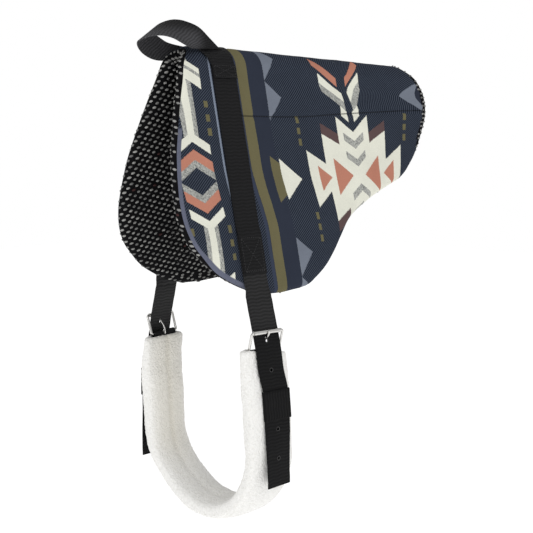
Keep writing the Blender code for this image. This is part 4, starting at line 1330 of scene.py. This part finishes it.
def make_seam_stitches():
    """The quilting seam along each flap, in the cover's groove."""
    for side in (LEFT, RIGHT):
        path, normals = [], []
        for i in range(101):
            x = 0.0245 + 0.388 * i / 100
            down = seam_down(x)
            drop = float(drop_at(down))
            distance = outline_distances(numpy.array([[x, drop * SLANT]]))[0]
            if distance < 0.006 or x > rear_edge(drop) - 0.006:
                break
            middle, normal = surface_at(x, drop, relief(x, down, distance, side) + 0.0001, side)
            path.append(middle)
            normals.append(normal)
        places = stitch_row(path, normals, pitch=0.0048, share=0.62, width=0.0010)
        stitches = copies(f"{SIDE_NAMES[side]}_seam_stitching", places, seam_thread_finish)
        dress(stitches, "woven_cover", "pad")


def make_lining_stitches():
    """The surcingle's edge rows and its box stitching where they show on the horse's side."""
    lift = -(PAD_THICKNESS + 0.0011)
    half = BOX_HALF_WIDTH
    top, bottom = SURCINGLE_DROP - BOX_STITCH_LENGTH + 0.004, SURCINGLE_DROP - 0.004
    runs = [((x, 0.060), (x, 0.296)) for x in (-0.0195, 0.0195)]
    runs += [((-half, top), (half, bottom)), ((half, top), (-half, bottom))]
    runs += [((-half, drop), (half, drop)) for drop in (top, bottom)]
    for side in (LEFT, RIGHT):
        sew("lining_stitching", side, lift, runs, pitch=0.0046, width=0.0011, height=0.0010)


def handle_lines(substeps):
    rear, front = [], []
    for rear_share, front_share in HANDLE_SHARES:
        for line, share in ((rear, rear_share), (front, front_share)):
            line.append(Vector((share[0] * HANDLE_REACH, share[1] * HANDLE_SPREAD, share[2] * HANDLE_RISE)))
    return smooth_path(rear, substeps), smooth_path(front, substeps)


def make_handle():
    """The grab handle: its two sewn ends and the loop between them, one length of webbing."""
    rear, front = handle_lines(8)
    middles = [(a + b) / 2 for a, b in zip(rear, front)]
    loop = []
    for i, middle in enumerate(middles):
        course = middles[min(i + 1, len(middles) - 1)] - middles[max(i - 1, 0)]
        half = (front[i] - rear[i]) / 2
        loop.append((middle, half, course.cross(half)))
    lift = LAYER_GAP + WEBBING_THICKNESS * 1.5 + STRAP_CLEARANCE
    ends = {}
    for side, foot in ((LEFT, loop[0]), (RIGHT, loop[-1])):
        rows = []
        tab = [(RIDGE_HEIGHT + extra, 0.0) for extra in (HANDLE_TAB_LENGTH, 0.015, 0.010, 0.005)]
        bend = ((1.0, 0.12), (0.75, 0.32), (0.5, 0.58), (0.28, 0.82))
        bend = [(RIDGE_HEIGHT * share, turn) for share, turn in bend]
        for drop, turn in tab + bend:
            middle, normal = surface_at(foot[0].x * turn, drop, lift, side)
            rows.append((middle, Vector((-WEBBING_WIDTH / 2, 0.0, 0.0)), normal))
        ends[side] = rows
    sections = []
    before = None
    for middle, half, normal in ends[LEFT] + loop + list(reversed(ends[RIGHT])):
        if before is not None and normal.dot(before) < 0:
            normal = -normal
        before = normal.normalized()
        sections.append((middle, half, before))
    strap = ribbon("handle_webbing", sections, WEBBING_THICKNESS, webbing_finish, wave=0.0003)
    # Painted light: the lower front part of the loop, which faces down, is painted lighter as if lit
    paler = []
    for vertex in strap.data.vertices:
        low = fade_in((0.046 - vertex.co.z) / 0.020)
        paler.append(low * fade_in((-0.025 - vertex.co.x) / 0.030))
    set_point_values(strap.data, "painted_handle_light", paler)
    dress(strap, "black_webbing", None, "handle_loop", "handle_left_tab", "handle_right_tab")
    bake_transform(strap)
    top, bottom = RIDGE_HEIGHT + 0.003, RIDGE_HEIGHT + HANDLE_TAB_LENGTH - 0.003
    for side in (LEFT, RIGHT):
        sew("tab_stitching", side, lift + WEBBING_THICKNESS / 2, box_and_cross(0.019, top, bottom))


# Billets, buckles and keepers


def billet_drops(first, last):
    count = int((last - first) / STRAP_STEP) + 1
    return [first + (last - first) * i / count for i in range(count + 1)]


def cut_round(strap, side, down, length, width, aside=0.0, floor=0.0):
    """A punched hole or slot, cut through the strap or down to a thin floor that holds a near-black disc, a
    painted shadow.

    Gives its melted rim, painted lighter than the strap as a highlight, with the floor if it has one, as a
    piece to be joined to the strap.
    """
    middle, half, inward = strap_section(side, down)
    normal = -inward
    middle = middle + half.normalized() * aside
    course = (strap_section(side, down + 0.003)[0] - strap_section(side, down - 0.003)[0]).normalized()
    place = Matrix((course, normal.cross(course), normal)).transposed().to_4x4()

    def laid(obj, lift):
        """Draws a round piece out to the hole's length and lays it on the strap."""
        for vertex in obj.data.vertices:
            vertex.co.x += math.copysign((length - width) / 2, vertex.co.x)
        place.translation = middle + normal * lift
        obj.data.transform(place)
        return obj

    disc, ring = bpy.ops.mesh.primitive_cylinder_add, bpy.ops.mesh.primitive_torus_add
    punch = add_primitive(disc, "punch", vertices=24, radius=width / 2, depth=PUNCH_DEPTH)
    laid(punch, PUNCH_DEPTH / 2 - WEBBING_THICKNESS / 2 + floor if floor else 0.0)
    apply_modifier(strap, "BOOLEAN", object=punch, operation="DIFFERENCE", solver="EXACT")
    remove_piece(punch)
    rim = add_primitive(
        ring, "rim", rim_painted_highlight_finish,
        major_segments=28, minor_segments=6, major_radius=width / 2 + 0.0001, minor_radius=0.00042,
    )
    laid(rim, WEBBING_THICKNESS * 0.46)
    rim.data.shade_smooth()
    # Painted shadow: the hole stops short of the strap's back and a near-black disc lies on its floor
    if floor:
        radius = width / 2 - 0.0001
        shadow = add_primitive(disc, "painted_hole_shadow", hole_shadow_finish, vertices=24, radius=radius, depth=0.0001)
        laid(shadow, floor + 0.0001 - WEBBING_THICKNESS / 2)
        rim = join_into(rim, [shadow])
    return rim


def join_into(obj, others):
    """Joins small pieces into one, which keeps its own name and place."""
    name = obj.name
    only(obj)
    for other in others:
        other.select_set(True)
    bpy.ops.object.join()
    obj.name = name
    return obj


def cut_slot(strap, side):
    """The oblong slot that the buckle's tongue comes through."""
    return cut_round(strap, side, -TONGUE_CROSSING, *TONGUE_OPENING, aside=-0.001)


def make_billet_upper(side, label, last):
    """From its sewn end under the surcingle down to the buckle, bending at the flap's edge."""
    stands = BILLET_STANDOFF + WEBBING_THICKNESS / 2
    flat = LAYER_GAP + WEBBING_THICKNESS / 2
    sections = []
    for drop in billet_drops(SURCINGLE_DROP - BOX_STITCH_LENGTH, BILLET_HINGE_DROP - 0.002):
        lift = flat + (stands - flat) * fade_in((drop - SURCINGLE_DROP) / 0.030)
        toe = BUCKLE_TOE * fade_in((drop - 0.325) / 0.011)
        turned = Vector((math.cos(toe), side * math.sin(toe), 0.0)) * WEBBING_WIDTH / 2
        face = flap_normal(side) - Vector((math.sin(toe), 0.0, 0.0))
        sections.append((layer_point(0.0, drop, -lift, side), turned, face))
    hanging = billet_drops(BILLET_HINGE_DROP - HEEL_BAR_DROP + 0.003, last)
    sections += [strap_section(side, down) for down in hanging]
    upper = ribbon(f"{label}_billet_upper", sections, WEBBING_THICKNESS, billet_painted_light_finish, wave=0.0003)
    if side == RIGHT:
        join_into(upper, [cut_slot(upper, side)])
    dress(upper, "black_webbing", None, f"{label}_billet_anchor", f"{label}_billet_strap")
    hinge_y = side * -layer_point(0.0, BILLET_HINGE_DROP, -stands, LEFT).y
    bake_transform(upper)


def make_billet_tail(side, label, first):
    """From the buckle down through the keeper, with its punched holes."""
    sections = [strap_section(side, down) for down in billet_drops(first, TAIL_LENGTH)]
    tail = ribbon(f"{label}_billet_tail_webbing", sections, WEBBING_THICKNESS, tail_painted_shade_finish, wave=0.0003)
    rims = [cut_slot(tail, side)] if side == LEFT else []
    for i in range(1, TAIL_HOLES + 1):
        down = HOLE_PITCH * i - TONGUE_SLOT_RISE
        rims.append(cut_round(tail, side, down, 2 * HOLE_RADIUS, 2 * HOLE_RADIUS, floor=HOLE_FLOOR))
    join_into(tail, rims)
    dress(tail, "black_webbing", "girth" if side == RIGHT else None, f"{label}_billet_tail")
    if side == LEFT:
        heel = heel_bar(side)
        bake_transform(tail)


def make_billets():
    """The left billet is parted at its roller, the right one at its heel bar, where the loop opens."""
    for side, last, first in ((LEFT, -BUCKLE_RISE, -BUCKLE_RISE), (RIGHT, -0.0002, 0.0002)):
        make_billet_upper(side, SIDE_NAMES[side], last)
        make_billet_tail(side, SIDE_NAMES[side], first)


def make_buckles():
    for side, label in SIDE_NAMES.items():
        for make in (make_frame, make_roller, make_tongue, make_chape, make_keeper):
            make(side, label)


def buckle_matrix(side):
    """Turns a flat piece into the buckle's plane: x along its bars, y up its sides."""
    along, outward = buckle_axes(side)
    rise = (outward * BUCKLE_LEAN + UP * BUCKLE_RISE).normalized()
    place = Matrix((along, rise, along.cross(rise))).transposed().to_4x4()
    place.translation = heel_bar(side) + along * FRAME_ASIDE
    return place


def make_frame(side, label):
    """Round wire bent to a rectangle: a ring whose four quarters are drawn apart."""
    stations, around = 32, 14
    length = math.hypot(BUCKLE_RISE, BUCKLE_LEAN)
    obj = add_primitive(
        bpy.ops.mesh.primitive_torus_add, f"{label}_frame", nickel_finish,
        major_segments=stations, minor_segments=around,
        major_radius=FRAME_CORNER, minor_radius=FRAME_WIRE_RADIUS + NICKEL_PROUD,
    )
    obj.data.transform(Matrix.Rotation(math.pi / stations, 4, "Z"))
    for vertex in obj.data.vertices:
        angle = (vertex.index // around + 0.5) * 2 * math.pi / stations
        vertex.co.x += math.copysign(FRAME_WIDTH / 2 - FRAME_CORNER, math.cos(angle))
        vertex.co.y += math.copysign(length / 2 - FRAME_CORNER, math.sin(angle)) + length / 2
    obj.data.transform(buckle_matrix(side))
    smooth_shade(obj, 60)
    dress(obj, "nickel", f"{label}_billet", f"{label}_buckle_frame")


def make_roller(side, label):
    """A thin tube with rounded rims, centred on the axis that it turns about."""
    half = FRAME_WIDTH / 2 - FRAME_CORNER - ROLLER_END_GAP
    obj = add_primitive(
        bpy.ops.mesh.primitive_cylinder_add, f"{label}_roller_tube", nickel_finish,
        vertices=32, radius=ROLLER_RADIUS + NICKEL_PROUD, depth=2 * half, end_fill_type="NOTHING",
    )
    edit_all(obj, bpy.ops.mesh.subdivide, number_cuts=1)
    apply_modifier(obj, "SOLIDIFY", thickness=ROLLER_RADIUS - ROLLER_BORE_RADIUS, offset=-1.0)
    apply_modifier(obj, "BEVEL", width=0.0002, segments=2, limit_method="ANGLE")
    turn = UP.rotation_difference(buckle_axes(side)[0]).to_matrix().to_4x4()
    turn.translation = buckle_point(side, FRAME_ASIDE, BUCKLE_LEAN, BUCKLE_RISE)
    obj.data.transform(turn)
    smooth_shade(obj, 40)
    dress(obj, "nickel", f"{label}_roller", f"{label}_buckle_roller")


def wire_piece(name, points, radius, material, swell):
    """Round wire along a path, thicker towards its tip, with closed ends."""
    curve = bpy.data.curves.new(name, "CURVE")
    curve.dimensions = "3D"
    curve.bevel_depth = radius
    curve.bevel_resolution = 4
    curve.use_fill_caps = True
    spline = curve.splines.new("POLY")
    last = len(points) - 1
    spline.points.add(last)
    for i, (place, point) in enumerate(zip(spline.points, points)):
        place.co = (*point, 1.0)
        place.radius = 0.72 if i == last else ease(1.0, swell, (i / last - 0.55) / 0.25)
    only(link_new(name, curve))
    bpy.ops.object.convert(target="MESH")
    obj = name_piece(bpy.context.object, name, material)
    edit_all(obj, bpy.ops.mesh.remove_doubles, threshold=0.00001)
    edit_all(obj, bpy.ops.mesh.normals_make_consistent, inside=False)
    smooth_shade(obj, 50)
    return obj


def make_tongue(side, label):
    """A wire tongue whose eye goes round the heel bar and whose tip rests on the roller."""
    radius = FRAME_WIRE_RADIUS + TONGUE_EYE_CLEARANCE + TONGUE_WIRE_RADIUS
    points = []
    for i in range(21):
        angle = math.radians(100 - 14 * i)
        points.append(buckle_point(side, 0.0, radius * math.cos(angle), radius * math.sin(angle)))
    stem = [buckle_point(side, 0.0, BUCKLE_LEAN * out, BUCKLE_RISE * up) for out, up in TONGUE_SHARES]
    points += smooth_path(stem, 6)
    tongue = wire_piece(f"{label}_tongue_wire", points, TONGUE_WIRE_RADIUS, nickel_finish, 1.28)
    dress(tongue, "nickel", f"{label}_tongue", f"{label}_buckle_tongue")


def make_chape(side, label):
    """Webbing folded round the heel bar, with a slot for the tongue."""
    radius = FRAME_WIRE_RADIUS + CHAPE_CLEARANCE + CHAPE_THICKNESS / 2
    along, outward = buckle_axes(side)
    heel = heel_bar(side)
    lean = side * (leg_out(CHAPE_LEG) - leg_out(0.0))
    foot = Vector((GIRTH_RAKE * CHAPE_LEG, lean, -CHAPE_LEG))
    half = along * CHAPE_WIDTH / 2
    sections = [(heel + foot * i / 8 + outward * radius, half, outward) for i in range(8, 0, -1)]
    for i in range(13):
        angle = math.pi * i / 12
        away = outward * math.cos(angle) + UP * math.sin(angle)
        sections.append((heel + away * radius, half, away))
    sections += [(heel + foot * i / 8 - outward * radius, half, -outward) for i in range(1, 9)]
    chape = ribbon(f"{label}_chape_webbing", sections, CHAPE_THICKNESS, tail_painted_shade_finish)
    window = add_primitive(bpy.ops.mesh.primitive_cube_add, "window", size=1.0)
    height = 2 * radius + CHAPE_SLOT_DROP
    turn = Matrix((along * CHAPE_SLOT_WIDTH, outward * 0.02, UP * height)).transposed().to_4x4()
    turn.translation = heel + UP * (height / 2 - CHAPE_SLOT_DROP)
    window.data.transform(turn)
    apply_modifier(chape, "BOOLEAN", object=window, operation="DIFFERENCE", solver="EXACT")
    remove_piece(window)
    dress(chape, "black_webbing", "girth", f"{label}_chape")


def make_keeper(side, label):
    """A loop of webbing round the billet's tail, sewn to the sleeve."""
    top, bottom = KEEPER_TOP, KEEPER_TOP + KEEPER_LENGTH
    middle, half, normal = strap_section(side, (top + bottom) / 2)
    upper = strap_section(side, top)[0]
    lower = strap_section(side, bottom)[0]
    reach = (lower - upper) / 2
    wide = half.normalized()
    width = WEBBING_WIDTH / 2 + KEEPER_SIDE_CLEARANCE + KEEPER_THICKNESS / 2
    depth = WEBBING_THICKNESS / 2 + KEEPER_FACE_CLEARANCE + KEEPER_THICKNESS / 2
    corner = depth * 0.85
    sections = []
    for quarter, (across, out) in enumerate(((1, 1), (-1, 1), (-1, -1), (1, -1))):
        for i in range(5):
            angle = math.pi / 2 * (quarter + i / 4)
            aside = wide * math.cos(angle) + normal * math.sin(angle)
            place = middle + wide * across * (width - corner) + normal * out * (depth - corner)
            sections.append((place + aside * corner, reach, aside))
        if quarter in (0, 2):
            for i in range(1, 6):
                share = 1 - i / 3
                place = middle + wide * across * (width - corner) * share + normal * out * depth
                sections.append((place, reach, normal * out))
    keeper = ribbon(f"{label}_keeper_webbing", sections, KEEPER_THICKNESS, keeper_painted_shade_finish, closed=True)
    dress(keeper, "black_webbing", "girth", f"{label}_keeper")


# The fleece girth


def sleeve_ring(middle, along, outward, half_width, half_thickness):
    """Points of a flat ring with full sides."""
    ring = []
    for i in range(SLEEVE_AROUND):
        angle = 2 * math.pi * i / SLEEVE_AROUND
        cosine, sine = math.cos(angle), math.sin(angle)
        across = math.copysign(abs(cosine) ** 0.72, cosine) * half_width
        out = math.copysign(abs(sine) ** 0.60, sine) * half_thickness
        ring.append(middle + along * across + outward * out)
    return ring


def settle(place):
    """Lets the sleeve's mouths sag and its right leg stand out and forward, off the solid."""
    down = PAD_THICKNESS - HEEL_BAR_DROP - place.z
    if place.y > 0:
        place.z -= RIGHT_MOUTH_SAG * fade_out(down / 0.040)
        leg = fade_in(down / 0.05) * fade_out((down - 0.17) / 0.05)
        place.y += RIGHT_LEG_OUT * leg
        place.x -= RIGHT_LEG_FORWARD * leg
    else:
        place.z -= LEFT_MOUTH_SAG * fade_out(down / 0.040) * fade_in(place.x / 0.07 + 0.5)


def make_sleeve():
    """The curly fleece tube, bent into a U, its mouths rolled in to the slot for the core."""
    stations = girth_stations(SLEEVE_STEP)
    rings = []
    for down, middle, along, outward in stations:
        near_mouth = max(0.0, 1.0 - (down + SLEEVE_MOUTH_RISE) / 0.005)
        rolled = 1.0 - 0.16 * (1.0 - math.sqrt(1.0 - near_mouth**2))
        half = sleeve_half_thickness(down) - 0.0006 - 0.0011 * fade_in((down - 0.10) / 0.08)
        wide = ease(SLEEVE_MOUTH_HALF_WIDTH, SLEEVE_WIDTH / 2, down / SLEEVE_SWELL) - 0.0006
        rings.append(sleeve_ring(middle, along, outward, wide * rolled, half * rolled))
    pile_rows = len(rings)
    bore = (MOUTH_BORE_HALF_WIDTH, MOUTH_BORE_HALF_THICKNESS * 0.72)
    rings += [sleeve_ring(*station[1:], *bore) for station in stations[::-6]]
    mesh = bpy.data.meshes.new("fleece_sleeve")
    points = [point for ring in rings for point in ring]
    mesh.from_pydata(points, [], ring_faces(len(rings), SLEEVE_AROUND, True))
    turn_outwards(mesh)
    normals = [vertex.normal.copy() for vertex in mesh.vertices]
    painted_lighting = [0.0] * len(normals)
    for i, vertex in enumerate(mesh.vertices):
        row, column = divmod(i, SLEEVE_AROUND)
        place = vertex.co.copy()
        if row < pile_rows:
            from_seam = abs(column - 0.75 * SLEEVE_AROUND) / SLEEVE_AROUND
            tufts = 1.0 - noise.voronoi(place * 210.0)[0][0] ** 2
            lumps = noise.noise(place * 38.0)
            curls = noise.noise(place * 520.0)
            lift = 0.0011 * tufts + 0.0011 * lumps + 0.0005 * curls
            if from_seam < 0.04:
                lift -= 0.0022 * math.exp(-((from_seam / 0.010) ** 2))
            place = place + normals[i] * lift
            down = PAD_THICKNESS - HEEL_BAR_DROP - place.z
            sine = math.sin(2 * math.pi * column / SLEEVE_AROUND)
            # Painted shade: darker and yellower on the side towards the horse and along the seam's crease,
            # fading out in the bowl
            painted_lighting[i] = 0.75 * max(-sine, 0.0) ** 1.5 + 0.25 * math.exp(-((from_seam / 0.012) ** 2))
            painted_lighting[i] *= ease(1.0, 0.15, (down - 0.150) / 0.070)
        settle(place)
        vertex.co = place
    set_point_values(mesh, "painted_inner_shade", painted_lighting)
    mesh.shade_smooth()
    obj = link_new("fleece_sleeve", mesh, fleece_finish)
    return dress(obj, "white_fleece", "girth", "girth_fleece")


# Camera, floor and light


def make_camera():
    camera = link_new("camera", bpy.data.cameras.new("camera"))
    camera.data.lens = CAMERA_LENS
    camera.data.sensor_width = 36.0
    camera.data.clip_end = 50.0
    right = Vector((math.cos(CAMERA_BEARING), -math.sin(CAMERA_BEARING), 0.0))
    level = math.cos(CAMERA_PITCH)
    ahead = (math.sin(CAMERA_BEARING) * level, math.cos(CAMERA_BEARING) * level, -math.sin(CAMERA_PITCH))
    forward = Vector(ahead)
    turn = Matrix((right, right.cross(forward), -forward)).transposed().to_4x4()
    turn.translation = Vector(CAMERA_PLACE)
    camera.matrix_world = turn
    bpy.context.scene.camera = camera


def add_light(name, place, target, size, power):
    light = bpy.data.lights.new(name, "AREA")
    light.shape = "DISK"
    light.size = size
    light.energy = power
    obj = link_new(name, light)
    obj.location = place
    obj.rotation_euler = (Vector(target) - Vector(place)).to_track_quat("-Z", "Y").to_euler()


def make_stage():
    """A plain white floor and even white light, with a soft box on each side of the camera."""
    white = (1.0, 1.0, 1.0)
    floor_finish = new_material(
        "floor_finish", 0.9, Base_Color=(0.95, 0.95, 0.95), Emission_Color=white, Emission_Strength=0.45
    )[0]
    floor = add_primitive(
        bpy.ops.mesh.primitive_plane_add, "floor", floor_finish, size=14.0, location=(0.0, 0.0, -1.15)
    )
    world = bpy.data.worlds.new("studio")
    bpy.context.scene.world = world
    world.use_nodes = True
    nodes, links = world.node_tree.nodes, world.node_tree.links
    shining, seen = nodes["Background"], nodes.new("ShaderNodeBackground")
    for node, strength in ((shining, 0.66), (seen, 1.0)):
        put(white, node.inputs["Color"])
        put(strength, node.inputs["Strength"])
    path = nodes.new("ShaderNodeLightPath")
    mix = nodes.new("ShaderNodeMixShader")
    links.new(path.outputs["Is Camera Ray"], mix.inputs[0])
    links.new(shining.outputs[0], mix.inputs[1])
    links.new(seen.outputs[0], mix.inputs[2])
    links.new(mix.outputs[0], nodes["World Output"].inputs["Surface"])
    add_light("key", (-0.7, -2.2, 1.4), (0.1, 0.0, -0.25), 1.6, 14.0)
    add_light("left", (-2.3, -0.2, 0.5), (0.0, 0.0, -0.3), 1.2, 8.0)
    bpy.context.scene.view_settings.view_transform = "Standard"


make_camera()
make_stage()

fibre_group = make_fibre_group()
twill_group = make_twill_group()
figure_group = make_figure_group()
webbing_group = make_webbing_group()

cover_finish = make_cover_material()
# One black webbing throughout: painted lighter on the billets' upper parts, and painted darker on the tails,
# chapes and keepers
webbing_finish = make_webbing_material("webbing_finish", (0.0085, 0.0085, 0.0092))
billet_painted_light_finish = make_webbing_material("billet_painted_light_finish", (0.021, 0.021, 0.0215))
tail_painted_shade_finish = make_webbing_material("tail_painted_shade_finish", (0.0055, 0.0055, 0.006))
keeper_painted_shade_finish = make_webbing_material("keeper_painted_shade_finish", (0.0055, 0.0055, 0.006), half_width=20.5)
thread_finish = make_plain_material(
    "thread_finish", (0.010, 0.010, 0.011), (0.035, 0.035, 0.037), 1500.0, 0.55, 0.0002
)
seam_thread_finish = make_plain_material(
    "seam_thread_finish", (0.005, 0.006, 0.010), (0.013, 0.015, 0.022), 1500.0, 0.7, 0.0002
)
lining_finish = make_plain_material(
    "lining_cloth_finish", (0.003, 0.003, 0.0033), (0.007, 0.007, 0.008), 900.0, 0.9, 0.0006,
    Specular_IOR_Level=0.06,
)
nub_finish = make_nub_material()
foam_finish = make_plain_material("foam_finish", (0.60, 0.58, 0.50), (0.76, 0.74, 0.66), 900.0, 0.95, 0.0004)
# The real melted rims, their colour painted lighter than the webbing as a highlight
rim_painted_highlight_finish = make_plain_material(
    "melted_rim_painted_highlight_finish", (0.022, 0.022, 0.023), (0.05, 0.05, 0.05), 700.0, 0.35, 0.0002
)
hole_shadow_finish = make_plain_material(
    "hole_shade_finish", (0.0005, 0.0005, 0.0005), (0.001, 0.001, 0.001), 700.0, 0.95, 0.0001,
    Specular_IOR_Level=0.0,
)
nickel_finish = make_plain_material(
    "nickel_finish", (0.56, 0.55, 0.53), (0.72, 0.71, 0.69), 260.0, 0.22, 0.00002, Metallic=1.0
)
fleece_finish = make_fleece_material()

bead = make_bead()
make_cover()
make_lining()
make_surcingle()
make_box_stitches()
make_seam_stitches()
make_lining_stitches()
make_handle()
make_billets()
make_buckles()
make_sleeve()
remove_piece(bead)

for node, finish in (("foam_core", foam_finish), ("girth_core", webbing_finish)):
    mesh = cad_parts[node].data
    mesh.materials.clear()
    mesh.materials.append(finish)
